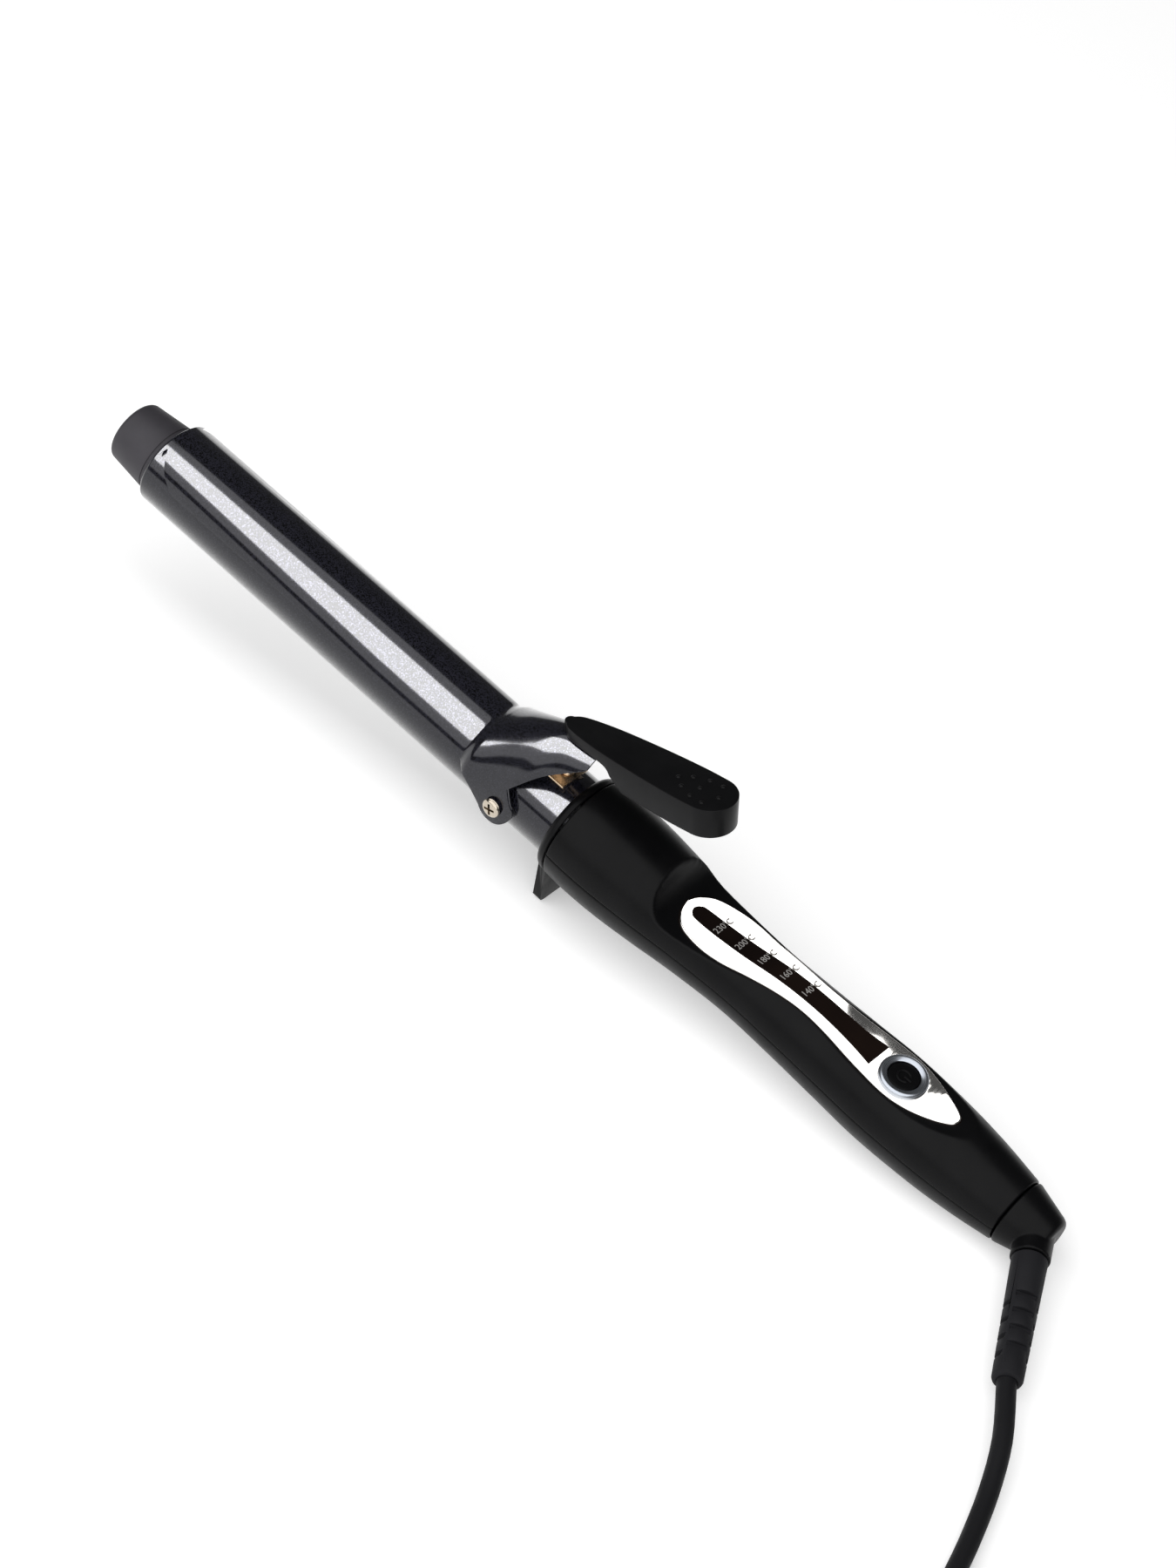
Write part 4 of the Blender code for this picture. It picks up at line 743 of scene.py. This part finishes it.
def lever_frame():
    """The lever's own frame in the iron's: X along its top face, Z out of it."""
    return Matrix.Translation(LEVER_FRONT) @ Matrix.Rotation(-LEVER_SLOPE, 4, "Y")


def tongue_height(x):
    """Height of the clip's tongue, which lies under the lever's nose."""
    drop = (LEVER_NOSE + GAP) / math.cos(LEVER_SLOPE)
    return LEVER_FRONT.z - drop + (x - LEVER_FRONT.x) * math.tan(LEVER_SLOPE)


def clip_stations():
    """Cross-sections along the clip: (x, crest height, half-width, height where the sides turn vertical)."""
    plain, saddle = PLATE_RADIUS, SADDLE_RADIUS
    flat = [(CLIP_TIP_X - 2 * MM, plain, plain, 0), (JOGGLE_X - 40 * MM, plain, plain, 0)]
    step = smooth([(JOGGLE_X - 3 * MM, plain, plain, 0), (JOGGLE_X - 0.6 * MM, plain, plain, 0),
                   (JOGGLE_X + 2.2 * MM, plain + 1.9 * MM, saddle - 0.4 * MM, 0),
                   (-31.0 * MM, 18.6 * MM, saddle, -1 * MM), (-26.0 * MM, 22.4 * MM, saddle, -4 * MM),
                   (-19.6 * MM, 26.6 * MM, saddle, -6 * MM),
                   (-14.0 * MM, tongue_height(-14 * MM), saddle - 0.6 * MM, -4 * MM),
                   (-9.0 * MM, tongue_height(-9 * MM), saddle - 5 * MM, 8 * MM),
                   (-2.0 * MM, tongue_height(-2 * MM), 10 * MM, 18 * MM),
                   (TONGUE_REAR_X + 3 * MM, tongue_height(TONGUE_REAR_X + 3 * MM), 8.6 * MM, 24 * MM)], 8)
    return flat + step


def clip_outline():
    """The clip seen from the side: its tip, lower edge, ear and tongue."""
    edge = PLATE_RADIUS * math.cos(CLIP_HALF_SPAN)
    over = 60 * MM
    flare = smooth([(-44 * MM, edge), (-37 * MM, edge - 1.2 * MM), (-30 * MM, edge - 4.6 * MM),
                    (PIVOT_X - EAR_RADIUS * 0.8, -EAR_RADIUS * 0.6)], 10)
    ear = arc((PIVOT_X, 0), EAR_RADIUS, 217, 382, 40)
    slant = smooth([(-17.0 * MM, 8.5 * MM), (-10.6 * MM, 17.7 * MM),
                    (TONGUE_REAR_X - 0.4 * MM, 29.4 * MM)], 10)
    tip = smooth([(CLIP_TIP_X, over), (CLIP_TIP_X, 15 * MM), (-173.5 * MM, 13 * MM), (-168.5 * MM, 8.2 * MM),
                  (-162.8 * MM, edge)], 12)
    return tip + flare + ear[1:] + slant + [(TONGUE_REAR_X, over)]


def clip_piece():
    """The pressed clip: a sheet over its cross-sections, cut to its outline and drilled for the screws."""
    across, low = 72, -EAR_RADIUS - 2 * MM
    rows = []
    for x, crest, half, shoulder in clip_stations():
        foot = half if x < JOGGLE_X else SADDLE_RADIUS
        row = [(x, -foot + SHEET / 2, low)]
        for i in range(across + 1):
            angle = math.pi * i / across
            row.append((x, -(half - SHEET / 2) * math.cos(angle),
                        shoulder + (crest - SHEET / 2 - shoulder) * math.sin(angle)))
        row.append((x, foot - SHEET / 2, low))
        rows.append(row)
    mesh = thickened(tidy(grid(rows)), SHEET)
    mesh = combined(mesh, "INTERSECT", extruded(clip_outline(), -30 * MM, 30 * MM))
    reach = SADDLE_RADIUS + 2 * MM
    mesh = combined(mesh, "DIFFERENCE", rod(PIVOT_HOLE_RADIUS, (PIVOT_X, -reach, 0), (PIVOT_X, reach, 0)))
    mesh = bevelled(mesh, 0.2 * MM, 2, 50)
    show("clamp_plate_surface", mesh, BARREL_BLACK, "clamp", ["clamp_plate"], sharp=40)


def lever_outline(inset=0.0):
    """The lever seen from above, in its own frame, or the same shape drawn in by an inset."""
    half = LEVER_HALF_WIDTH
    nose = arc((1.9 * MM, 0), 1.9 * MM, 180, 100, 6)
    side = smooth([nose[-1], (5 * MM, 4.0 * MM), (16 * MM, 6.2 * MM), (32 * MM, 7.8 * MM),
                   (46 * MM, half), (LEVER_LENGTH - half, half)], 10)
    rear = arc((LEVER_LENGTH - half, 0), half, 90, 0, 24)[1:]
    upper = nose[:-1] + side + rear
    lower = [(u, -v) for u, v in reversed(upper[1:-1])]
    middle, shrink = LEVER_LENGTH / 2, 1 - inset / half
    return [(middle + (u - middle) * shrink, v * shrink) for u, v in upper + lower]


def lever_pieces():
    """The moulded lever, hollow from below behind its skirt, and its grip bumps."""
    place = lever_frame()
    mesh = extruded(lever_outline(), -LEVER_DEPTH, 0, "XY")
    skirt_end, below = LEVER_SKIRT_U + 11 * MM, -LEVER_DEPTH - MM
    skirt = smooth([(-MM, -LEVER_NOSE), (LEVER_SKIRT_U, -LEVER_NOSE),
                    (LEVER_SKIRT_U + 5 * MM, -LEVER_DEPTH * 0.72), (skirt_end, below)], 8)
    under = extruded(skirt + [(-MM, below)], -20 * MM, 20 * MM)
    pocket_outline = [(u, v) for u, v in lever_outline(LEVER_WALL) if u > skirt_end]
    pocket = extruded(pocket_outline, below, -LEVER_TOP_WALL, "XY")
    mesh = combined(mesh, "DIFFERENCE", under)
    mesh = combined(mesh, "DIFFERENCE", pocket)
    mesh = bevelled(mesh, 0.8 * MM, 4, 50)
    show("thumb_lever_surface", mesh, LEVER_BLACK, "clamp", ["thumb_lever"], IRON @ place)
    dome = in_metres([(0.42, 0), (0.38, 0.35), (0.25, 0.62), (0.05, 0.82), (-0.3, 0.86), (-0.3, 0)])
    first_u = (GRIP_FRONT_X - LEVER_FRONT.x) / math.cos(LEVER_SLOPE)
    grip = [turned(dome, Z_AXIS, (first_u + along * MM, y * MM, 0), 20)
            for along, ys in GRIP_ROWS.items() for y in ys]
    show("thumb_grip_bumps", join_meshes(grip), LEVER_BLACK, "clamp", (), IRON @ place)


# ---------------------------------------------------------------- collar and handle

def collar_piece():
    """The ring with the foot, whose sole is cut level with what the iron stands on."""
    inner = BARREL_RADIUS + GAP
    bulge = smooth([(0, COLLAR_FRONT_RADIUS), (0.5 * MM, COLLAR_RADIUS - 1.0 * MM),
                    (1.6 * MM, COLLAR_RADIUS - 0.2 * MM), (COLLAR_LENGTH - 0.2 * MM, COLLAR_RADIUS)], 8)
    rear = [(COLLAR_LENGTH, COLLAR_RADIUS - 0.25 * MM), (COLLAR_LENGTH, inner)]
    ring = turned([(0, inner)] + bulge + rear)
    toe = -(IRON_ORIGIN.z + FOOT_THICKNESS * math.sin(-TILT)) / math.cos(TILT)
    corner = (5.3 * MM, toe + FOOT_CORNER)
    near = [(12.3 * MM, -10 * MM), (7.8 * MM, corner[1])] + arc(corner, FOOT_CORNER, 0, -90, 8)
    outline = near + [(-y, z) for y, z in reversed(near)]
    plate = extruded(outline, 0, FOOT_THICKNESS, "YZ")
    mesh = combined(ring, "UNION", plate)
    mesh = combined(mesh, "DIFFERENCE", rod(inner, (-MM, 0, 0), (COLLAR_LENGTH + MM, 0, 0), 128))
    level = Matrix.Rotation(-TILT, 4, "Y")
    floor, reach = -IRON_ORIGIN.z, 20 * MM
    ground = box((-reach, -reach, floor - reach), (reach, reach, floor), level)
    mesh = combined(mesh, "DIFFERENCE", ground)
    mesh = bevelled(mesh, 0.35 * MM, 3, 45)
    show("stand_collar_surface", mesh, SOFT_BLACK, "root", ["stand_collar"])


def soft_min(a, b, blend):
    """The smaller of two values, with a smooth change from one to the other."""
    h = min(max(0.5 + 0.5 * (b - a) / blend, 0), 1)
    return b + (a - b) * h - blend * h * (1 - h)


def handle_radius(x, angle):
    """Distance from the axis to the handle's face, at an angle in radians from the panel's side."""
    round_part = height_at(HANDLE_LINE, x)
    ends = 0.6 * MM
    distance = min(x - HANDLE_FRONT_X, HANDLE_REAR_X - x)
    if distance < ends:
        round_part -= ends - math.sqrt(max(ends ** 2 - (ends - distance) ** 2, 0))
    level = math.cos(angle) < 0.05
    if level or not PANEL_LINE[0][0] < x < PANEL_LINE[-1][0]:
        return round_part
    return soft_min(round_part, height_at(PANEL_LINE, x) / math.cos(angle), SCOOP_BLEND)


def handle_pieces():
    """Two shells of one surface, split at the sides with a fine rounded joint."""
    ends = [0, 0.05, 0.15, 0.3, 0.45, 0.6]
    front = [HANDLE_FRONT_X + e * MM for e in ends]
    rear = [HANDLE_REAR_X - e * MM for e in reversed(ends)]
    length = rear[0] - front[-1]
    xs = front + [front[-1] + length * i / HANDLE_SECTIONS for i in range(1, HANDLE_SECTIONS)] + rear
    seam = [0.35, 0.7, 1.2, 2.0]
    middle = [seam[-1] + (180 - 2 * seam[-1]) * i / HANDLE_STEPS for i in range(1, HANDLE_STEPS)]
    degrees = seam + middle + [180 - s for s in reversed(seam)]
    for name, turn in (("upper", -90), ("lower", 90)):
        rows = []
        for x in xs:
            row = []
            for degree in degrees:
                angle = math.radians(degree + turn)
                radius = handle_radius(x, angle)
                radius -= SEAM_DEPTH * max(1 - min(degree, 180 - degree) / SEAM_SPAN, 0) ** 2
                row.append((x, -radius * math.sin(angle), radius * math.cos(angle)))
            rows.append(row)
        mesh = thickened(tidy(grid(rows), 1e-8), SHELL, -1.0)
        if name == "upper":
            mesh = combined(mesh, "DIFFERENCE", button_bore())
        show(f"handle_{name}_surface", mesh, SOFT_BLACK, "root", [f"handle_{name}"], sharp=60)


def button_bore():
    """The hole under the bezel that the button moves in."""
    return rod(BEZEL_RADIUS - 0.6 * MM, (BUTTON_X, 0, 2 * MM), (BUTTON_X, 0, 30 * MM), 96)


def rim_profile(low, high, edge):
    """(inset, height) pairs up a plate's side and over its rounded edge."""
    turns = [math.radians(angle) for angle in (0, 22, 45, 68, 90)]
    return [(0.0, low)] + [(edge * (1 - math.cos(a)), high - edge * (1 - math.sin(a))) for a in turns]


def panel_plate(widths, low, high, edge, grow=0.0):
    """A plate that follows the panel's face, with a rounded rim, from half-widths along X."""
    line = smooth(in_metres(widths), 16)
    side = [Vector((x, max(half, 0))) for x, half in line]
    outline = side + [Vector((point.x, -point.y)) for point in reversed(side) if point.y > 0]
    normals = []
    for before, after in zip(outline[-1:] + outline[:-1], outline[1:] + outline[:1]):
        along = (after - before).normalized()
        normals.append(Vector((along.y, -along.x)))
    rings = []
    for inset, height in rim_profile(low, high, edge):
        ring = [point + normal * (inset - grow) for point, normal in zip(outline, normals)]
        rings.append([(point.x, point.y, height_at(PANEL_LINE, point.x) + height) for point in ring])
    bm = ring_stack(rings)
    start, end = line[0][0], line[-1][0]
    for cut in range(int((end - start) / PANEL_CUT)):
        at = start + (cut + 0.5) * PANEL_CUT
        geom = bm.verts[:] + bm.edges[:] + bm.faces[:]
        bmesh.ops.bisect_plane(bm, geom=geom, plane_co=(at, 0, 0), plane_no=(1, 0, 0))
    bmesh.ops.remove_doubles(bm, verts=bm.verts, dist=2e-6)
    bmesh.ops.recalc_face_normals(bm, faces=bm.faces)
    return mesh_of(bm)


def panel_pieces():
    """The chrome trim, a dark sheet round it as painted shade for the gap at its edge, the window and its
    five temperatures.
    """
    trim = panel_plate(TRIM_HALF_WIDTHS, -1.0 * MM, TRIM_PROUD, 0.5 * MM)
    trim = combined(trim, "DIFFERENCE", button_bore())
    show("panel_trim_surface", trim, CHROME, "root", ["panel_trim"])
    # Painted shade: a thin dark gloss sheet reaching just past the trim's edge stands in for the shade in
    # the gap between trim and handle.
    seam = panel_plate(TRIM_HALF_WIDTHS, -0.4 * MM, 0.04 * MM, 0.01 * MM, grow=0.3 * MM)
    seam = combined(seam, "DIFFERENCE", button_bore())
    show("panel_trim_seam", seam, WINDOW, "root", ())
    window = panel_plate(WINDOW_HALF_WIDTHS, 0, WINDOW_PROUD, 0.15 * MM)
    show("display_window_surface", window, WINDOW, "root", ["display_window"])
    for number, x in LABELS.items():
        label(number, x * MM)


def label(number, x):
    """Raised print of a temperature, read across the panel from the near side."""
    text = bpy.data.curves.new("label", "FONT")
    text.body = number + "°C"
    text.size = LABEL_SIZE
    text.align_x = "CENTER"
    text.align_y = "CENTER"
    text.extrude = LABEL_HALF_THICKNESS
    text.resolution_u = 3
    obj = temporary(text)
    face = height_at(PANEL_LINE, x) + WINDOW_PROUD + LABEL_HALF_THICKNESS / 2
    slope = (height_at(PANEL_LINE, x + MM) - height_at(PANEL_LINE, x - MM)) / (2 * MM)
    lean = Matrix.Rotation(-math.atan(slope), 4, "Y")
    across = Matrix.Rotation(math.radians(90), 4, "Z")
    obj.matrix_world = Matrix.Translation((x, LABEL_SIDE_OFFSET, face)) @ lean @ across
    show(f"label_{number}", baked(obj), PRINT, "root")


def button_pieces():
    """The bezel, the button in it and the power symbol on the button."""
    place = (BUTTON_X, 0, 0)
    inner = BUTTON_RADIUS + 0.25 * MM
    rim = [(11.9, 7.8), (12.5, 7.75), (12.9, 7.5), (13.15, 7.1), (13.2, 6.8), (13.1, 6.5), (12.75, 5.45),
           (12.6, 5.28)]
    profile = [(BEZEL_FOOT_Z, BEZEL_RADIUS)] + in_metres(rim) + [(BEZEL_FOOT_Z, inner)]
    bezel = turned(profile, Z_AXIS, place, 96)
    show("button_bezel_surface", bezel, BEZEL_METAL, "root", ["button_bezel"])
    face = BUTTON_FACE_Z
    cap = [(face - 2.6 * MM, 0), (face - 2.6 * MM, BUTTON_RADIUS), (face - 0.5 * MM, BUTTON_RADIUS),
           (face - 0.15 * MM, BUTTON_RADIUS - 0.15 * MM), (face, BUTTON_RADIUS - 0.5 * MM),
           (face - 0.12 * MM, BUTTON_RADIUS * 0.5), (face - 0.15 * MM, 0)]
    mesh = turned(cap, Z_AXIS, place, 96)
    show("power_button_surface", mesh, SOFT_BLACK, "button", ["power_button"])
    top = face - 0.05 * MM
    ring = [(BUTTON_X + y, -x, top) for x, y in arc((0, 0), 2.1 * MM, 125, 415, 24)]
    bar = [(BUTTON_X + 2.6 * MM, 0, top), (BUTTON_X + 0.2 * MM, 0, top)]
    symbol = join_meshes([tube(stroke, SYMBOL_STROKE_RADIUS, 3) for stroke in (ring, bar)])
    show("power_symbol", symbol, LEVER_BLACK, "button", ())


# ---------------------------------------------------------------- screws and spring

def cross_screw(name, top, axis, head_radius, head_height, body, node, material):
    """A pan-head screw with a cross recess; the head's top is at a point."""
    dome = [(0, 0), (0, head_radius * 0.55), (-head_height * 0.12, head_radius * 0.80),
            (-head_height * 0.35, head_radius * 0.95), (-head_height * 0.6, head_radius),
            (-head_height, head_radius), (-head_height, head_radius * 0.42),
            (-head_height - 2.5 * MM, head_radius * 0.42), (-head_height - 2.5 * MM, 0)]
    mesh = turned(dome, Z_AXIS, (0, 0, 0), 64)
    long, wide, deep = head_radius * 0.62, head_radius * 0.13, head_height * 0.7
    mesh = combined(mesh, "DIFFERENCE", box((-long, -wide, -deep), (long, wide, deep)))
    mesh = combined(mesh, "DIFFERENCE", box((-wide, -long, -deep * 0.97), (wide, long, deep)))
    mesh = bevelled(mesh, 0.08 * MM, 2, 50)
    place = IRON @ Matrix.Translation(top) @ facing(axis) @ Matrix.Rotation(math.radians(20), 4, "Z")
    show(name, mesh, material, body, [node], place)


def screw_pieces():
    """The two pivot screws and the leaf spring's screw."""
    top = SADDLE_RADIUS + GAP + 1.5 * MM
    for side_name, side in (("left", -1), ("right", 1)):
        node = f"pivot_screw_{side_name}"
        cross_screw(node + "_surface", (PIVOT_X, side * top, 0), Y_AXIS * side, 3.15 * MM, 1.5 * MM, "root",
                    node, NICKEL)
    spring_top = BARREL_RADIUS + GAP + 0.8 * MM + GAP + 1.1 * MM
    cross_screw("spring_screw_surface", (-8.2 * MM, 0, spring_top), Z_AXIS, 2.25 * MM, 1.1 * MM, "root",
                "spring_screw", BRASS)


def spring_piece():
    """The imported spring's own shape with finer bends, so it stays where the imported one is."""
    half = 0.4 * MM
    base = BARREL_RADIUS + GAP + half
    radius, bend_x = 2.6 * MM, -18.5 * MM
    arm_start = (bend_x, base + 2 * radius)
    arm_x = -5.0 * MM
    arm_end = (arm_x, tongue_height(arm_x) - SHEET - 1.3 * MM)
    bend = arc((bend_x, base + radius), radius, 270, 90, 24)
    lift = (arm_end[1] - arm_start[1]) / (arm_end[0] - arm_start[0])
    arm = smooth([arm_start, (-12 * MM, arm_start[1] + lift * 5 * MM), arm_end], 10)[1:]
    middle = [(-4.7 * MM, base)] + bend + arm
    outer, inner = offset_line(middle, half), offset_line(middle, -half)
    mesh = extruded(outer + inner[::-1], -5.9 * MM, 5.9 * MM)
    for side in (-1, 1):
        near, far = sorted((side * 3.2 * MM, side * 12 * MM))
        mesh = combined(mesh, "DIFFERENCE", box((-40 * MM, near, base + radius), (20 * MM, far, 60 * MM)))
    mesh = bevelled(mesh, 0.12 * MM, 2, 50)
    obj = show("clip_spring_surface", mesh, BRASS, "root", ["clip_spring"])
    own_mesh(obj)


# ---------------------------------------------------------------- swivel and cord

def swivel_pieces():
    """The swivelling cap with its slanting boss, melted together, and the strain relief."""
    joint, rear = SWIVEL_JOINT_X, SWIVEL_JOINT_X + CAP_LENGTH
    profile = [(SPIGOT_FRONT_X, 0), (SPIGOT_FRONT_X, SPIGOT_RADIUS), (joint, SPIGOT_RADIUS),
               (joint, CAP_FRONT_RADIUS - 0.6 * MM), (joint + 0.2 * MM, CAP_FRONT_RADIUS - 0.2 * MM),
               (joint + 0.6 * MM, CAP_FRONT_RADIUS),
               (rear - 1.8 * MM, CAP_REAR_RADIUS + 0.45 * MM), (rear - 0.8 * MM, CAP_REAR_RADIUS - 0.1 * MM),
               (rear - 0.2 * MM, CAP_REAR_RADIUS - 0.9 * MM), (rear, CAP_REAR_RADIUS - 1.8 * MM), (rear, 0)]
    cap = turned(profile, steps=96)
    root = Vector((BOSS_X, 0, 0))
    end = root + BOSS_DIRECTION * BOSS_LENGTH
    cap = combined(cap, "UNION", rod(BOSS_RADIUS, root, end, 64))
    obj = temporary(cap)
    remesh = obj.modifiers.new("Remesh", "REMESH")
    remesh.mode = "VOXEL"
    remesh.voxel_size = 0.33 * MM
    relax = obj.modifiers.new("Relax", "SMOOTH")
    relax.factor = 0.5
    relax.iterations = 6
    show("swivel_cap_surface", baked(obj), SOFT_BLACK, "swivel", ["swivel_cap"], sharp=180)
    relief_piece(end)


def relief_piece(boss_end):
    """The slotted strain relief, from the boss's end."""
    start, end = GAP, GAP + RELIEF_LENGTH
    bore = CORD_RADIUS + 0.15 * MM
    neck = 4.1 * MM
    profile = [(-4 * MM, bore), (-4 * MM, neck), (start, neck), (start, RELIEF_RADIUS - 0.3 * MM),
               (start + 0.3 * MM, RELIEF_RADIUS), (end - 1.2 * MM, RELIEF_END_RADIUS + 0.02 * MM),
               (end - 0.4 * MM, RELIEF_END_RADIUS - 0.3 * MM), (end, RELIEF_END_RADIUS - 1.0 * MM),
               (end, bore)]
    mesh = turned(profile, Z_AXIS, (0, 0, 0), 64)
    pitch, width, first = 6.0 * MM, 1.8 * MM, 15.0 * MM
    for row in range(int((RELIEF_LENGTH - first) / pitch)):
        at = first + row * pitch
        for side in (-1, 1):
            near, far = sorted((side * (CORD_RADIUS + 0.6 * MM), side * 8 * MM))
            mesh = combined(mesh, "DIFFERENCE", box((-3.2 * MM, near, at), (3.2 * MM, far, at + width)))
            high = at + pitch / 2
            mesh = combined(mesh, "DIFFERENCE", box((near, -3.2 * MM, high), (far, 3.2 * MM, high + width)))
    mesh = bevelled(mesh, 0.15 * MM, 2, 50)
    place = IRON @ Matrix.Translation(boss_end) @ facing(BOSS_DIRECTION)
    show("strain_relief_surface", mesh, RUBBER, "swivel", ["strain_relief"], place)


def beside(point):
    """A point given in millimetres from below the relief's end, in the world."""
    exit_point = IRON @ relief_end()
    return Vector((exit_point.x, exit_point.y, 0)) + Vector(point) * MM


def eased(angle, centre):
    """0 before a step of the coil, 1 after it, and a smooth turn between."""
    share = min(max((angle - centre) / COIL_STEP_SPAN + 0.5, 0), 1)
    return (1 - math.cos(math.pi * share)) / 2


def coil_point(angle):
    """The cord's centre at an angle round the coil, after the steps that it has made by then."""
    column = sum(step * eased(angle, at) for at, step, _ in COIL_STEPS)
    layer = sum(step * eased(angle, at) for at, _, step in COIL_STEPS)
    radius = COIL_MEAN_RADIUS + 2 * CORD_RADIUS * (1 - column)
    turn = math.radians(angle)
    height = COIL_LIFT + CORD_RADIUS * (1 + 2 * layer)
    return tuple(beside(COIL_CENTRE) + Vector((radius * math.cos(turn), radius * math.sin(turn), height)))


def cord_piece():
    """The whole cord as one tube: out of the relief, along the floor, round the coil and into the plug."""
    exit_point = IRON @ relief_end()
    inside = IRON @ (relief_end() - BOSS_DIRECTION * CORD_START_DEPTH)
    route, tail = ([tuple(beside(point)) for point in points] for points in (CORD_ROUTE, TAIL_ROUTE))
    lead = [tuple(inside), tuple(exit_point)] + route
    coil = [coil_point(COIL_ENTRY + step * COIL_POINT_ANGLE)
            for step in range(round((COIL_EXIT - COIL_ENTRY) / COIL_POINT_ANGLE) + 1)]
    into_plug = Vector(tail[-1]) + (Vector(tail[-1]) - Vector(tail[-2])).normalized() * CORD_START_DEPTH
    tail.append(tuple(into_plug))
    line = smooth(lead + coil[:1], 4)[:-1] + coil + smooth(coil[-1:] + tail, 4)[1:]
    mesh = tube(line, CORD_RADIUS, 6)
    obj = show("power_cord", mesh, CORD_RUBBER, None, ["cord", "cord_coil", "cord_tail"],
               Matrix(), 60)
    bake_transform(obj)


def relief_end():
    """The strain relief's far end, in the iron's frame."""
    return Vector((BOSS_X, 0, 0)) + BOSS_DIRECTION * (BOSS_LENGTH + GAP + RELIEF_LENGTH + GAP)


def tie_piece():
    """A moulded strap round the coil."""
    half = COIL_LAYERS * CORD_RADIUS
    inner, outer = COIL_MEAN_RADIUS - half - GAP, COIL_MEAN_RADIUS + half + GAP
    low, high = COIL_LIFT - GAP, COIL_LIFT + 2 * half + GAP
    thick, wide = TIE_THICKNESS, TIE_WIDTH / 2
    bow = outer - math.sqrt(outer ** 2 - wide ** 2)
    strap = box((inner - thick, -wide, low - thick), (outer + thick + bow, wide, high + thick))
    strap = combined(strap, "DIFFERENCE", box((inner - bow, -2 * wide, low), (outer + bow, 2 * wide, high)))
    strap = bevelled(strap, 0.3 * MM, 3, 50)
    place = Matrix.Translation(beside(COIL_CENTRE)) @ Matrix.Rotation(TIE_ANGLE, 4, "Z")
    show("cord_tie_surface", strap, CORD_RUBBER, "root", ["cord_tie"], place)


def plug_piece():
    """The moulded plug: a ribbed neck that swells into an oval body with a flat face."""
    start, before = beside(TAIL_ROUTE[-1]), beside(TAIL_ROUTE[-2])
    along = Vector((start.x - before.x, start.y - before.y, 0)).normalized()
    start = start + along * GAP
    start.z = PLUG_HEIGHT / 2 + 0.5 * MM
    place = Matrix.Translation(start) @ Matrix.Rotation(math.atan2(along.y, along.x), 4, "Z")
    neck, end = PLUG_NECK_LENGTH, PLUG_NECK_LENGTH + PLUG_LENGTH
    half = PLUG_WIDTH / 2
    flank = smooth([(0, 4.2 * MM), (neck * 0.7, 4.9 * MM), (neck + 6 * MM, 7.5 * MM),
                    (end - 12 * MM, half - MM), (end, half)], 10)
    rows = []
    for x, width in flank + [(end, half * 0.92)]:
        inset = 0.5 * MM if x >= end - 0.6 * MM else 0
        height = min(PLUG_HEIGHT / 2, width * 0.95) - inset
        rows.append([(x, (width - inset) * math.copysign(abs(math.cos(a)) ** 0.6, math.cos(a)),
                      height * math.copysign(abs(math.sin(a)) ** 0.6, math.sin(a)))
                     for a in [math.tau * i / 64 for i in range(64)]])
    mesh = tidy(mesh_of(ring_stack(rows)))
    for rib in range(4):
        at = neck * 0.12 + rib * 2.6 * MM
        for side in (-1, 1):
            near, far = sorted((side * 3.4 * MM, side * 9 * MM))
            mesh = combined(mesh, "DIFFERENCE", box((at, near, -9 * MM), (at + 1.1 * MM, far, 9 * MM)))
    mesh = combined(mesh, "DIFFERENCE", rod(CORD_RADIUS, (-MM, 0, 0), (6 * MM, 0, 0)))
    show("plug_surface", mesh, CORD_RUBBER, "root", ["plug_body"], place, sharp=50)


# ---------------------------------------------------------------- everything

finish_packed_nodes()
cam = camera()
studio()
barrel_pieces()
clip_piece()
lever_pieces()
collar_piece()
handle_pieces()
panel_pieces()
button_pieces()
screw_pieces()
spring_piece()
swivel_pieces()
tie_piece()
plug_piece()
cord_piece()
softboxes(cam)
